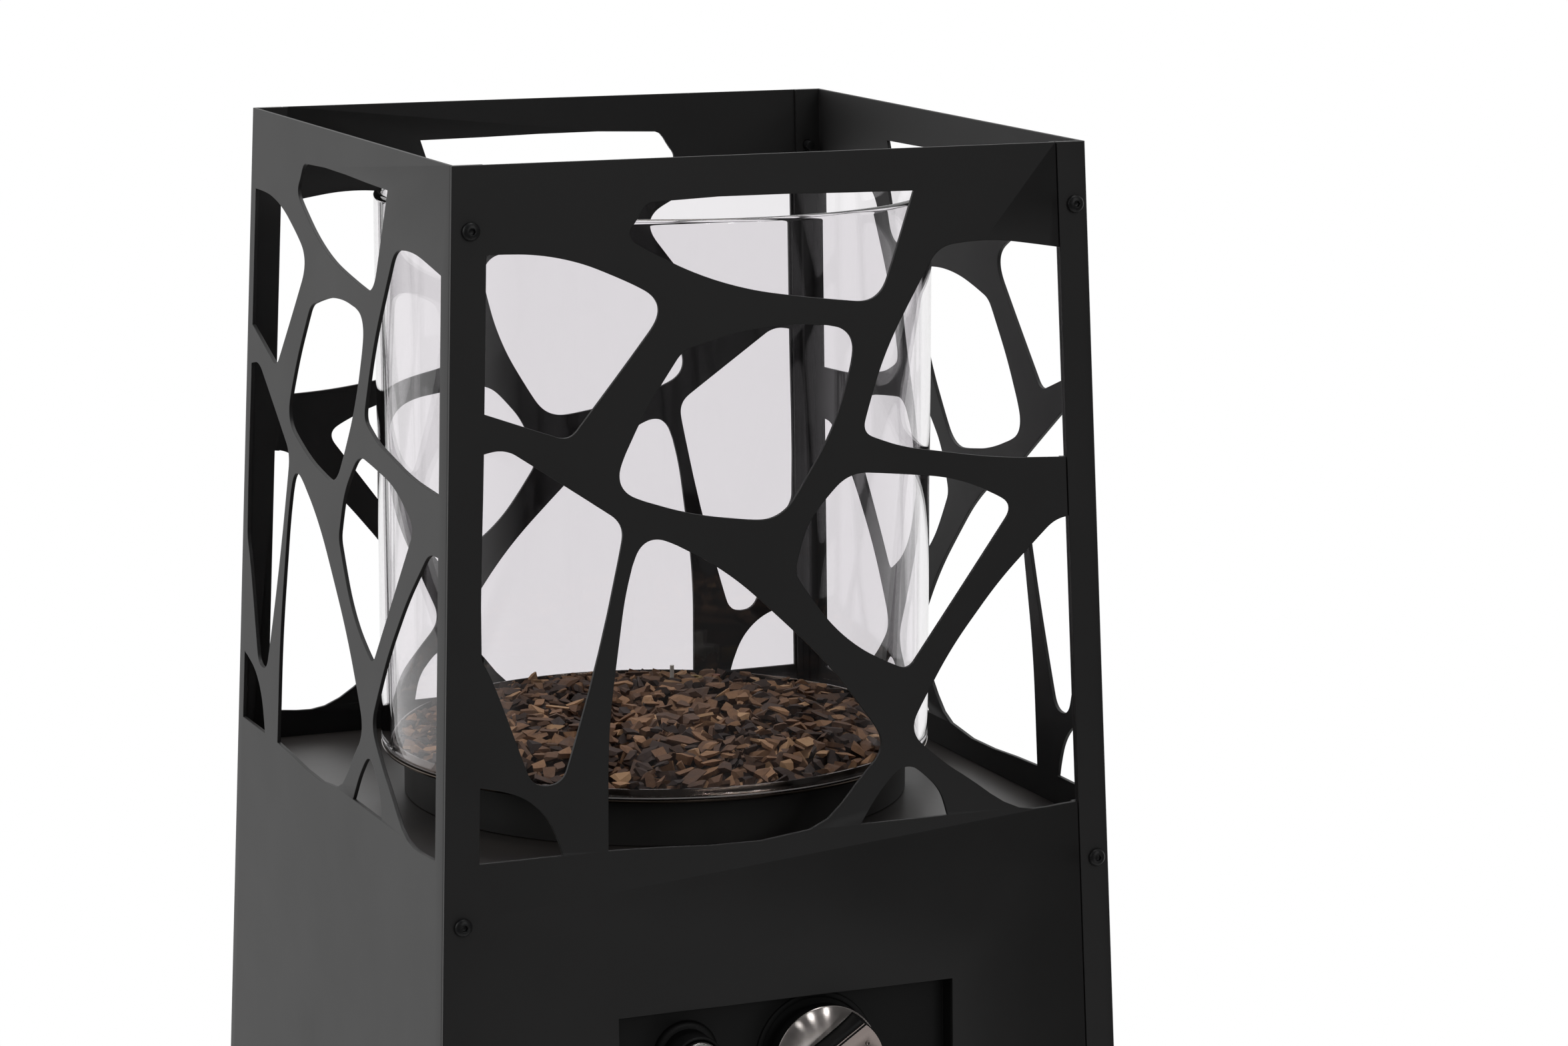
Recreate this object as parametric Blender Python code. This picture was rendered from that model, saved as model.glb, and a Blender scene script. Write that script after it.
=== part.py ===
"""Pyramid patio heater: a gas burner under a glass tube, in a tapering cage of cut-out sheet steel.

Metres, +Z up, the floor at Z = 0 and the control face towards -Y. The shell is four bent sheets.
Front and back are one design, left and right another, and the body repeats after half a turn.
A height on the shell is given as its drop below the top rim, because the cage hangs from there.
"""
import math

import bmesh
import bpy
from mathutils import Matrix, Vector

for old in list(bpy.data.objects):
    bpy.data.objects.remove(old, do_unlink=True)

# Shell
top_width = 0.350
body_height = 1.122
foot_height = 0.018
lean_share = 0.0352
sheet = 0.002
bend_radius = 0.002
wrap = 0.017
tuck = 0.017
seam_gap = 0.0008
edge_room = 0.001
seat_gap = 0.0003
overrun = 0.004
weld_distance = 0.000001

# Cage cut-outs
cage_above_deck = 0.0165
top_band = 0.022
front_post = 0.0185
side_post_left = 0.0108
side_post_right = 0.015
side_shift = 0.0015
side_shift_share = 0.019

# Each cut-out as corners: place across in shares of the top width, drop in shares of the cage
# drop, and how far from the corner its rounding starts, in the same shares.
cell_corner_shares = (
    ((-0.557, 0.127, 0), (-0.340, 0.127, 0.086), (-0.170, 0.207, 0.054), (-0.331, 0.398, 0.020),
     (-0.557, 0.317, 0)),
    ((-0.119, -0.023, 0), (0.246, -0.023, 0), (0.160, 0.225, 0.040), (-0.097, 0.191, 0.114),
     (-0.243, 0.110, 0.026)),
    ((-0.154, 0.277, 0.017), (-0.017, 0.242, 0.086), (0.127, 0.259, 0.051), (0.091, 0.398, 0.071),
     (-0.002, 0.537, 0.043), (-0.143, 0.518, 0.057), (-0.271, 0.473, 0.051), (-0.217, 0.365, 0.043)),
    ((0.571, 0.174, 0), (0.337, 0.137, 0.051), (0.255, 0.146, 0.026), (0.165, 0.298, 0.063),
     (0.129, 0.414, 0.020), (0.194, 0.439, 0.029), (0.357, 0.466, 0.057), (0.571, 0.476, 0)),
    ((-0.557, 0.428, 0), (-0.430, 0.402, 0.023), (-0.247, 0.524, 0.026), (-0.289, 0.708, 0.114),
     (-0.351, 0.895, 0.023), (-0.398, 0.895, 0.023), (-0.448, 0.756, 0.029), (-0.559, 0.490, 0)),
    ((-0.284, 1.076, 0), (-0.280, 0.822, 0.071), (-0.250, 0.626, 0.034), (-0.222, 0.532, 0.054),
     (-0.089, 0.601, 0.071), (0.073, 0.753, 0.071), (0.171, 0.886, 0.043), (-0.049, 1.076, 0)),
    ((0.107, 0.470, 0.034), (0.289, 0.490, 0.057), (0.381, 0.537, 0.026), (0.202, 0.774, 0.017),
     (0.096, 0.725, 0.074), (0.018, 0.614, 0.014), (0.040, 0.539, 0.034)),
    ((0.571, 0.559, 0), (0.450, 0.561, 0.023), (0.354, 0.649, 0.043), (0.270, 0.749, 0.051),
     (0.200, 0.867, 0.034), (0.266, 0.924, 0.029), (0.506, 1.076, 0), (0.571, 1.076, 0)),
    ((-0.557, 0.870, 0), (-0.381, 0.912, 0.071), (-0.330, 1.076, 0), (-0.557, 1.076, 0)),
    ((0.069, 1.079, 0), (0.151, 0.955, 0.023), (0.198, 0.908, 0.034), (0.254, 0.959, 0.023),
     (0.287, 1.076, 0)),
)
corner_steps = 4
bend_steps = 3
edge_steps = 2
sharp_angle = math.radians(35)

# Corner screws: M5 button heads in four rows
screw_rows = 4
screw_top_drop = 0.0326
screw_bottom_rise = 0.0334
screw_inset_left = 0.0101
screw_inset_right = 0.0076
screw_head_radius = 0.00475
screw_head_height = 0.0027
screw_head_edge = 0.0008
screw_socket = 0.0030
screw_socket_depth = 0.0014
screw_radius = 0.0025
screw_length = 0.010
screw_room = 0.0003
screw_sides = 12

# Deck, burner and glass
deck_drop = 0.3695
deck_flange = 0.010
deck_hole_inset = 0.0275
glass_room = 0.0225
glass_wall = 0.005
glass_top_drop = 0.0352
glass_edge = 0.0012
round_sides = 40
tray_above_deck = 0.028
tray_sheet = 0.0015
tray_bowl_inset = 0.0155
tray_depth = 0.0235
tray_lip_height = 0.005
tray_lip_room = 0.0012
collar_inset = 0.0125
collar_wall = 0.0015
burner_ring_inset = 0.062
burner_tube_radius = 0.007
burner_arm_radius = 0.006
burner_lift = 0.001
burner_sides = 10
burner_steps = 28
venturi_radius = 0.011
venturi_wall = 0.002
venturi_drop = 0.062
injector_radius = 0.006
injector_tip_radius = 0.003
injector_length = 0.032
injector_reach = 0.010
injector_shoulder = 0.006
stone_room = 0.002
stone_rise = 0.0015
stone_crown = 0.010
stone_shoulder_power = 5
stone_lump = 0.0018
stone_pitch = 0.034
stone_rings = 7

# Pilot, thermocouple and spark electrode, side by side at the back of the bed
pilot_inset = 0.0288
pilot_angle = math.radians(56.31)
pilot_spacing = 0.014
pilot_radius = 0.005
pilot_flange_radius = 0.0065
pilot_flange = 0.0015
pilot_stand = 0.008
pilot_tail = 0.012
pilot_bore = 0.003
pilot_bore_depth = 0.010
probe_radius = 0.0025
probe_length = 0.040
electrode_radius = 0.0035
electrode_wire = 0.0012
electrode_wire_length = 0.008
electrode_tail = 0.016
hole_room = 0.0003
pilot_well_width = 0.046
pilot_well_depth = 0.018

# Control recess
recess_width = 0.190
recess_height = 0.084
recess_below_deck = 0.0724
recess_depth = 0.012
box_sheet = 0.0015
box_flange = 0.010

# Control knob and gas valve
knob_across = 0.0197
knob_rise = 0.0068
knob_radius = 0.030
knob_skirt_radius = 0.029
knob_skirt_back = 0.0058
knob_lip = 0.0045
knob_edge = 0.0058
knob_shoulder = 0.0072
knob_crown = 0.0085
knob_shoulder_share = 0.82
knob_shell = 0.003
knob_hub_radius = 0.007
knob_hub_reach = 0.0085
knob_tilt = math.radians(33)
grip_width = 0.0264
bar_end_steps = 6
grip_taper = 0.0010
grip_radius = 0.0287
grip_seat = 0.0040
grip_height = 0.0175
inlay_width = 0.0204
inlay_radius = 0.0270
inlay_height = 0.0008
bezel_radius = 0.034
bezel_inner_radius = 0.0308
bezel_height = 0.0015
spindle_radius = 0.004
spindle_back = 0.0335
spindle_room = 0.0003
plate_hole_radius = 0.008
valve_width = 0.040
valve_height = 0.036
valve_length = 0.034
valve_edge = 0.003
valve_nose_radius = 0.011
valve_nose_length = 0.006
valve_nose_wall = 0.001
plug_radius = 0.007
plug_room = 0.0002
plug_length = 0.0294
plug_bore_end = 0.0045
port_radius = 0.007
port_length = 0.006
port_depth = 0.022
small_port_radius = 0.004
small_port_across = 0.012
small_port_depth = 0.026
small_port_length = 0.004
hose_inlet_length = 0.030
hose_inlet_radius = 0.0045
hose_barb_radius = 0.0058
hose_barb_pitch = 0.007
hose_barbs = 3
hose_nut_radius = 0.009
hose_nut_height = 0.008

# Igniter
igniter_across = -0.054
igniter_rise = 0.0155
igniter_flange_radius = 0.018
igniter_flange = 0.003
igniter_barrel_radius = 0.014
igniter_barrel_reach = 0.008
igniter_tail_radius = 0.013
igniter_tail = 0.052
igniter_bore_depth = 0.020
igniter_button_radius = 0.0118
igniter_button_room = 0.0003
igniter_button_reach = 0.011
igniter_button_back = 0.004
igniter_button_edge = 0.0015
igniter_nut_flats = 0.034
igniter_nut_height = 0.005

# Pipes and leads
gas_pipe_radius = 0.004
pilot_pipe_radius = 0.0025
probe_lead_radius = 0.0015
spark_lead_radius = 0.0018
tilt_lead_radius = 0.0013
pipe_resolution = 2
pipe_straight = 0.010
route_steps = 24
gas_pipe_points = 12
lead_points = 18
short_lead_points = 10

# Points on the way of each pipe: 0 if it is measured from the pipe's start or 1 if from its end,
# then across, back and up from there in shares of the top width.
gas_route_shares = ((0, -0.016, 0.176, 0), (1, 0.011, -0.071, -0.082))
pilot_route_shares = ((0, 0.018, 0.044, 0.089), (1, -0.028, -0.428, -0.079),
                      (1, -0.005, -0.143, -0.079), (1, 0, -0.023, -0.064))
probe_route_shares = ((0, 0.052, 0.222, 0.083), (1, 0.006, -0.171, -0.137), (1, 0, -0.023, -0.094))
spark_route_shares = ((0, 0.011, 0.227, 0.087), (1, -0.188, -0.171, -0.096), (1, -0.045, -0.028, -0.082))
tilt_route_shares = ((0, -0.014, 0.057, -0.009), (1, 0.037, 0.004, -0.021))

# Tilt switch behind the control plate
tilt_switch_width = 0.026
tilt_switch_height = 0.038
tilt_switch_depth = 0.020
tilt_switch_inset = 0.027
tilt_switch_edge = 0.002

# Base
base_flange = 0.020
vent_length = 0.100
vent_width = 0.010
vent_inset = 0.0595
bottle_ring_inset = 0.0895
bottle_ring_wall = 0.0025
bottle_ring_height = 0.020
foot_inset = 0.0445
foot_radius = 0.018
foot_neck_radius = 0.015
foot_edge = 0.002
foot_stud_radius = 0.004
foot_stud_reach = 0.012
foot_sides = 24

# Bottle door in the back panel
door_side_room = 0.060
door_top_below_deck = 0.2305
door_bottom_rise = 0.042
door_gap = 0.002
door_depth = 0.014
hinge_inset = 0.008
hinge_depth = 0.008
pin_radius = 0.0022
pin_head_radius = 0.0034
pin_head = 0.002
pin_reach = 0.006
pin_room = 0.0003
ear_lift = 0.0015
ear_reach = 0.016
ear_width = 0.026
ear_height = 0.016
latch_inset = 0.016
latch_hole_radius = 0.005
latch_shaft_radius = 0.0045
latch_knob_radius = 0.013
latch_knob_height = 0.0115
latch_knob_base = 0.003
latch_bar = 0.006
latch_bar_sink = 0.0012
cam_reach = 0.024
cam_width = 0.012
cam_gap = 0.0008
cam_sheet = 0.002
cam_notch_room = 0.002
cam_round_steps = 10
rivet_radius = 0.006
rivet_head = 0.001

half_turn = math.pi
quarter_turn = math.pi / 2
lean = math.atan(lean_share)
body_top = foot_height + body_height
screw_spacing = (body_height - screw_top_drop - screw_bottom_rise) / (screw_rows - 1)
cage_drop = deck_drop - cage_above_deck
tray_top_drop = deck_drop - tray_above_deck
glass_radius = top_width / 2 - glass_room
tray_bowl_radius = glass_radius - tray_bowl_inset
collar_radius = glass_radius - collar_inset
deck_hole_radius = glass_radius - deck_hole_inset
burner_ring_radius = tray_bowl_radius - burner_ring_inset
recess_top_drop = deck_drop + recess_below_deck
tilt_switch_across = recess_width / 2 - tilt_switch_inset
base_half_width = top_width / 2 + lean_share * body_height
vent_place = base_half_width - vent_inset
bottle_ring_radius = base_half_width - bottle_ring_inset
foot_place = base_half_width - foot_inset
door_top_drop = deck_drop + door_top_below_deck
door_width = top_width - door_side_room
door_height = body_height - door_top_drop - door_bottom_rise


def half_width(drop):
    """Half the outer width of the shell at a drop below the top rim."""
    return top_width / 2 + lean_share * drop


def level(drop):
    """World height of a drop below the top rim."""
    return body_top - drop


def paint(name, colour, roughness, metallic=0, alpha=1):
    """A Principled material in linear colour."""
    material = bpy.data.materials.new(name)
    material.use_nodes = True
    shader = material.node_tree.nodes['Principled BSDF']
    shader.inputs['Base Color'].default_value = (*colour, 1)
    shader.inputs['Roughness'].default_value = roughness
    shader.inputs['Metallic'].default_value = metallic
    shader.inputs['Alpha'].default_value = alpha
    material.diffuse_color = (*colour, alpha)
    return material


powder_coat = paint('powder_coat', (0.030, 0.030, 0.031), 0.55)
deck_coat = paint('deck_coat', (0.036, 0.034, 0.033), 0.40)
screw_black = paint('screw_black', (0.012, 0.012, 0.012), 0.35)
clear_glass = paint('clear_glass', (0.92, 0.94, 0.93), 0.02, 0, 0.3)
burner_steel = paint('burner_steel', (0.45, 0.44, 0.42), 0.35, 1)
collar_black = paint('collar_black', (0.010, 0.010, 0.010), 0.50)
stone_brown = paint('stone_brown', (0.085, 0.060, 0.045), 0.85)
brass = paint('brass', (0.60, 0.42, 0.16), 0.30, 1)
chrome = paint('chrome', (0.75, 0.75, 0.76), 0.08, 1)
satin_silver = paint('satin_silver', (0.62, 0.62, 0.62), 0.28, 1)
black_plastic = paint('black_plastic', (0.014, 0.014, 0.014), 0.35)
die_cast = paint('die_cast', (0.40, 0.40, 0.40), 0.45, 1)
copper = paint('copper', (0.55, 0.26, 0.14), 0.30, 1)
ceramic = paint('ceramic', (0.80, 0.79, 0.75), 0.40)
silicone = paint('silicone', (0.30, 0.05, 0.04), 0.60)
rubber = paint('rubber', (0.015, 0.015, 0.015), 0.80)


def place(piece, parent=None, at=(0, 0, 0), turn=(0, 0, 0)):
    """Put a piece at its location and rotation, under a parent if it has one."""
    piece.parent = parent
    piece.location = at
    piece.rotation_euler = turn
    return piece


def add_object(name, data, material=None):
    """Link a new object that holds a mesh, a curve or nothing."""
    piece = bpy.data.objects.new(name, data)
    bpy.context.scene.collection.objects.link(piece)
    if material:
        data.materials.append(material)
    return piece


def mesh_object(name, shape, material, smooth=False):
    """Turn a closed bmesh into an object whose faces point outwards."""
    bmesh.ops.recalc_face_normals(shape, faces=shape.faces)
    mesh = bpy.data.meshes.new(name)
    shape.to_mesh(mesh)
    shape.free()
    if smooth:
        mesh.shade_smooth()
        mesh.set_sharp_from_angle(angle=sharp_angle)
    return add_object(name, mesh, material)


def loft(shape, loops):
    """Skin a row of closed loops with equal point counts, and cap both ends."""
    rings = [[shape.verts.new(point) for point in loop] for loop in loops]
    shape.faces.new(rings[0])
    shape.faces.new(rings[-1])
    for near, far in zip(rings, rings[1:]):
        for i in range(len(near)):
            j = (i + 1) % len(near)
            shape.faces.new((near[i], near[j], far[j], far[i]))


def lofted(name, loops, material, smooth=False):
    """One closed piece from a row of loops."""
    shape = bmesh.new()
    loft(shape, loops)
    return mesh_object(name, shape, material, smooth)


def turned(name, profile, material, sides=round_sides, closed=False):
    """Turn a profile of (radius, height) points once round Z. A closed profile makes a ring."""
    shape = bmesh.new()
    points = [shape.verts.new((radius, 0, height)) for radius, height in profile]
    edges = [shape.edges.new(pair) for pair in zip(points, points[1:])]
    if closed:
        edges.append(shape.edges.new((points[-1], points[0])))
    bmesh.ops.spin(shape, geom=points + edges, cent=(0, 0, 0), axis=(0, 0, 1),
                   angle=2 * math.pi, steps=sides, use_merge=True)
    bmesh.ops.remove_doubles(shape, verts=shape.verts, dist=weld_distance)
    return mesh_object(name, shape, material, True)


def rectangle(width, height, at, across=0, up=0):
    """A rectangular loop across X and Y at a height, off centre if asked."""
    left, right = across - width / 2, across + width / 2
    low, high = up - height / 2, up + height / 2
    return [(left, low, at), (right, low, at), (right, high, at), (left, high, at)]


def block(name, width, height, back, front, material=None, edge=0, across=0, up=0):
    """A box across X and Y from one height to another, with broken edges if asked."""
    shape = bmesh.new()
    loft(shape, [rectangle(width, height, back, across, up), rectangle(width, height, front, across, up)])
    if edge:
        bmesh.ops.bevel(shape, geom=shape.edges[:], offset=edge, segments=edge_steps, affect='EDGES')
    return mesh_object(name, shape, material)


def rod(name, radius, back, front, material=None, sides=foot_sides):
    """A plain cylinder along Z."""
    return turned(name, [(0, front), (radius, front), (radius, back), (0, back)], material, sides)


def hide(tool):
    """Mark a cutter or a helper, which isn't a piece of the heater."""
    tool.hide_render = True
    tool.display_type = 'WIRE'
    return tool


def combine(piece, tool, operation):
    """Cut a piece with a tool, or weld the tool's shape to it."""
    step = piece.modifiers.new(tool.name, 'BOOLEAN')
    step.operation = operation
    step.solver = 'EXACT'
    step.object = hide(tool)
    return piece


def cut(piece, tool):
    return combine(piece, tool, 'DIFFERENCE')


def weld(piece, tool):
    return combine(piece, tool, 'UNION')


def frame_on_face(name, drop, turn=0):
    """An empty on a face's outer skin: X across, Y up the slope and Z out of the face."""
    frame = add_object(name, None)
    reach = half_width(drop)
    at = (reach * math.sin(turn), -reach * math.cos(turn), level(drop))
    return place(frame, None, at, (quarter_turn - lean, 0, turn))


def on_face(drop, across, turn=0):
    """World place and rotation of a point on a face's outer skin."""
    reach = half_width(drop)
    x = across * math.cos(turn) + reach * math.sin(turn)
    y = across * math.sin(turn) - reach * math.cos(turn)
    return (x, y, level(drop)), (quarter_turn - lean, 0, turn)


def bend(corner, before, after, radius, steps=bend_steps):
    """Points of a rounded corner, from quadratic weights between its two tangent points."""
    start = Vector(corner) + (Vector(before) - Vector(corner)).normalized() * radius
    end = Vector(corner) + (Vector(after) - Vector(corner)).normalized() * radius
    points = []
    for i in range(steps + 1):
        t = i / steps
        points.append(tuple(start * (1 - t) ** 2 + Vector(corner) * 2 * t * (1 - t) + end * t ** 2))
    return points


# Shell sheets, drawn as if each were the front face: X across, Y in from the outer skin


def front_section(drop):
    """Flat sheet with a joggled strip on the right, which lies behind the neighbour's wrap."""
    half = half_width(drop)
    seam = half - wrap - seam_gap
    behind = sheet + seat_gap
    strip_end = half - sheet - edge_room
    outline = [(-half, 0), (seam, 0), (seam, behind), (strip_end, behind), (strip_end, behind + sheet),
               (seam - sheet, behind + sheet), (seam - sheet, sheet), (-half, sheet)]
    return [(x, y - half, level(drop)) for x, y in outline]


def side_section(drop):
    """Channel: a wrap over the neighbour on the left, and a flange tucked behind on the right."""
    half = half_width(drop)
    right = half - sheet - seat_gap
    outline = bend((-half, 0), (-half, wrap), (right, 0), bend_radius)
    outline += bend((right, 0), (-half, 0), (right, tuck), bend_radius)
    outline += [(right, tuck), (right - sheet, tuck), (right - sheet, sheet)]
    outline += [(-half + sheet, sheet), (-half + sheet, wrap), (-half, wrap)]
    return [(x, y - half, level(drop)) for x, y in outline]


def rounded_outline(corners):
    """A closed outline through corners of (x, y, ease), each eased by a quadratic curve."""
    outline = []
    for i, (x, y, ease) in enumerate(corners):
        if not ease:
            outline.append((x, y))
            continue
        before, after = corners[i - 1], corners[(i + 1) % len(corners)]
        outline += bend((x, y), before[:2], after[:2], ease, corner_steps)
    return outline


def clip(outline, across, down, limit):
    """Keep the part of an outline where across * x + down * drop is at most the limit."""
    kept = []
    for i, here in enumerate(outline):
        there = outline[(i + 1) % len(outline)]
        over_here = across * here[0] + down * here[1] - limit
        over_there = across * there[0] + down * there[1] - limit
        if over_here <= 0:
            kept.append(here)
        if (over_here < 0 < over_there) or (over_there < 0 < over_here):
            t = over_here / (over_here - over_there)
            kept.append((here[0] + (there[0] - here[0]) * t, here[1] + (there[1] - here[1]) * t))
    return kept


def cell_outlines(left_post, right_post, shift, shift_share):
    """The cut-outs of one face as (across, drop), kept inside its posts, top band and sill."""
    outlines = []
    for shares in cell_corner_shares:
        outline = []
        for across, down in rounded_outline(shares):
            drop = down * cage_drop
            outline.append((across * top_width - shift - shift_share * drop, drop))
        outline = clip(outline, 0, -1, -top_band)
        outline = clip(outline, 0, 1, cage_drop)
        outline = clip(outline, -1, -lean_share, top_width / 2 - left_post)
        outline = clip(outline, 1, -lean_share, top_width / 2 - right_post)
        outlines.append(outline)
    return outlines


def cell_cutter(name, outlines, turn):
    """One prism for each cut-out, through the sheet and what lies behind it."""
    outside = -half_width(cage_drop) - overrun
    inside = -half_width(0) + 2 * sheet + overrun
    shape = bmesh.new()
    for outline in outlines:
        loft(shape, [[(x, y, level(drop)) for x, drop in outline] for y in (outside, inside)])
    return place(mesh_object(name, shape, None), None, (0, 0, 0), (0, 0, turn))


def screw_places():
    """Drop and place across for each screw of one face, left column first."""
    places = []
    for row in range(screw_rows):
        drop = screw_top_drop + row * screw_spacing
        places.append((drop, screw_inset_left - half_width(drop)))
        places.append((drop, half_width(drop) - screw_inset_right))
    return places


def screw_hole_cutter(name, turn):
    """Clearance holes square to a face at all its screws."""
    shape = bmesh.new()
    radius = screw_radius + screw_room
    for drop, across in screw_places():
        at, turned_to = on_face(drop, across)
        drill = bmesh.ops.create_cone(shape, cap_ends=True, segments=screw_sides, radius1=radius,
                                      radius2=radius, depth=2 * (2 * sheet + overrun))
        bmesh.ops.rotate(shape, verts=drill['verts'], matrix=Matrix.Rotation(turned_to[0], 3, 'X'))
        bmesh.ops.translate(shape, verts=drill['verts'], vec=at)
    return place(mesh_object(name, shape, None), None, (0, 0, 0), (0, 0, turn))


def shell_sheet(name, section, turn):
    """One bent sheet from the top rim to the bottom edge."""
    piece = lofted(name, [section(body_height), section(0)], powder_coat)
    return place(piece, None, (0, 0, 0), (0, 0, turn))


front_panel = shell_sheet('front_panel', front_section, 0)
right_panel = shell_sheet('right_panel', side_section, quarter_turn)
back_panel = shell_sheet('back_panel', front_section, half_turn)
left_panel = shell_sheet('left_panel', side_section, -quarter_turn)

face_cells = cell_outlines(front_post, wrap, 0, 0)
side_cells = cell_outlines(side_post_left, side_post_right, side_shift, side_shift_share)
cut(front_panel, cell_cutter('front_cells', face_cells, 0))
cut(back_panel, cell_cutter('back_cells', face_cells, half_turn))
cut(right_panel, cell_cutter('right_cells', side_cells, quarter_turn))
cut(left_panel, cell_cutter('left_cells', side_cells, -quarter_turn))

front_holes = screw_hole_cutter('front_holes', 0)
back_holes = screw_hole_cutter('back_holes', half_turn)
for panel in (front_panel, left_panel, right_panel):
    cut(panel, front_holes)
for panel in (back_panel, left_panel, right_panel):
    cut(panel, back_holes)


def screw_mesh():
    """A button head with a hexagon socket on a plain shank, head upwards, seat at Z = 0."""
    top = seat_gap + screw_head_height
    shoulder = (screw_head_radius + screw_socket) / 2
    bent = (top + seat_gap + screw_head_edge) / 2
    profile = [(0, top), (screw_socket, top), (shoulder, bent + screw_head_edge / 2),
               (screw_head_radius, seat_gap + screw_head_edge), (screw_head_radius, seat_gap),
               (screw_radius, seat_gap), (screw_radius, -screw_length), (0, -screw_length)]
    body = turned('screw_body', profile, screw_black, screw_sides)
    socket = rod('screw_socket_tool', screw_socket / math.sqrt(3), top - screw_socket_depth, top + overrun,
                 None, 6)
    cut(body, socket)
    bpy.context.view_layer.update()
    mesh = bpy.data.meshes.new_from_object(body.evaluated_get(bpy.context.evaluated_depsgraph_get()))
    bpy.data.objects.remove(body, do_unlink=True)
    bpy.data.objects.remove(socket, do_unlink=True)
    mesh.name = 'screw'
    return mesh


shared_screw = screw_mesh()
for face, turn in (('front', 0), ('back', half_turn)):
    for number, (drop, across) in enumerate(screw_places(), 1):
        at, turned_to = on_face(drop, across, turn)
        place(add_object(f'{face}_screw_{number}', shared_screw), None, at, turned_to)


# Deck and base: pans that fit the shell, with shallow steps round the folded strips at its corners


def pan_loop(drop, height, inset):
    """The shell's inner outline at a drop, moved in, and drawn at a height."""
    half = half_width(drop)
    wall = half - sheet - seat_gap - inset
    step = wall - sheet - seat_gap
    left = -half + tuck + seat_gap + edge_room + inset
    right = half - wrap - seam_gap - sheet - edge_room - inset
    front = [(-wall, -step), (left, -step), (left, -wall), (right, -wall), (right, -step), (wall, -step)]
    return [(x, y, height) for x, y in front + [(-x, -y) for x, y in front]]


def deck_plate():
    """The deck closes the shell under the cage. Its edge is folded down."""
    low = deck_drop + deck_flange
    loops = [pan_loop(deck_drop, level(deck_drop + sheet), sheet), pan_loop(low, level(low), sheet),
             pan_loop(low, level(low), 0), pan_loop(deck_drop, level(deck_drop), 0)]
    deck = lofted('deck_plate', loops, deck_coat)
    hole = rod('deck_hole', deck_hole_radius, level(low), level(deck_drop) + overrun, None, round_sides)
    return cut(deck, hole)


def base_plate():
    """The base carries the gas bottle. Its edge is folded up, and slots let stray gas out."""
    bottom = body_height - seat_gap
    high = bottom - base_flange
    loops = [pan_loop(bottom, level(bottom - sheet), sheet), pan_loop(high, level(high), sheet),
             pan_loop(high, level(high), 0), pan_loop(bottom, level(bottom), 0)]
    base = lofted('base_plate', loops, powder_coat)
    shape = bmesh.new()
    below, above = foot_height - overrun, foot_height + sheet + overrun
    for side in (-1, 1):
        loft(shape, [rectangle(vent_length, vent_width, z, 0, side * vent_place) for z in (below, above)])
        loft(shape, [rectangle(vent_width, vent_length, z, side * vent_place, 0) for z in (below, above)])
    cut(base, mesh_object('base_vents', shape, None))
    shape = bmesh.new()
    for x, y in foot_places():
        radius = foot_stud_radius + hole_room
        drill = bmesh.ops.create_cone(shape, cap_ends=True, segments=foot_sides, radius1=radius,
                                      radius2=radius, depth=2 * (sheet + overrun))
        bmesh.ops.translate(shape, verts=drill['verts'], vec=(x, y, foot_height))
    return cut(base, mesh_object('base_stud_holes', shape, None))


def foot_places():
    return [(x * foot_place, y * foot_place) for x in (-1, 1) for y in (-1, 1)]


def feet():
    """Rubber feet, each with a moulded-in stud that passes through the base."""
    top = foot_height
    for number, (x, y) in enumerate(foot_places(), 1):
        profile = [(0, top + foot_stud_reach), (foot_stud_radius, top + foot_stud_reach),
                   (foot_stud_radius, top), (foot_neck_radius, top), (foot_radius, foot_edge),
                   (foot_radius - foot_edge, 0), (0, 0)]
        place(turned(f'foot_{number}', profile, rubber, foot_sides), None, (x, y, 0))


deck_plate()
base_plate()
feet()
ring_low = foot_height + seat_gap + sheet + seat_gap
turned('bottle_ring',
       [(bottle_ring_radius, ring_low), (bottle_ring_radius, ring_low + bottle_ring_height),
        (bottle_ring_radius - bottle_ring_wall, ring_low + bottle_ring_height),
        (bottle_ring_radius - bottle_ring_wall, ring_low)], powder_coat, round_sides, True)


# Burner: collar on the deck, tray hung in the collar, glass tube on the tray's rim

deck_top = level(deck_drop)
tray_top = level(tray_top_drop)
tray_floor_low = tray_top - tray_depth
tray_floor = tray_floor_low + tray_sheet
stone_low = tray_floor + seat_gap
burner_height = stone_low + burner_lift + burner_tube_radius
glass_low = tray_top + seat_gap
venturi_low = tray_floor_low - venturi_drop
pilot_x = (tray_bowl_radius - pilot_inset) * math.cos(pilot_angle)
pilot_y = (tray_bowl_radius - pilot_inset) * math.sin(pilot_angle)
pilot_places = [(pilot_x + i * pilot_spacing, pilot_y) for i in (-1, 0, 1)]


def burner_collar():
    """Open ring that lifts the tray off the deck."""
    low, high = deck_top + seat_gap, tray_top - tray_sheet - seat_gap
    inner = collar_radius - collar_wall
    profile = [(collar_radius, low), (collar_radius, high), (inner, high), (inner, low)]
    return turned('burner_collar', profile, collar_black, round_sides, True)


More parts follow.
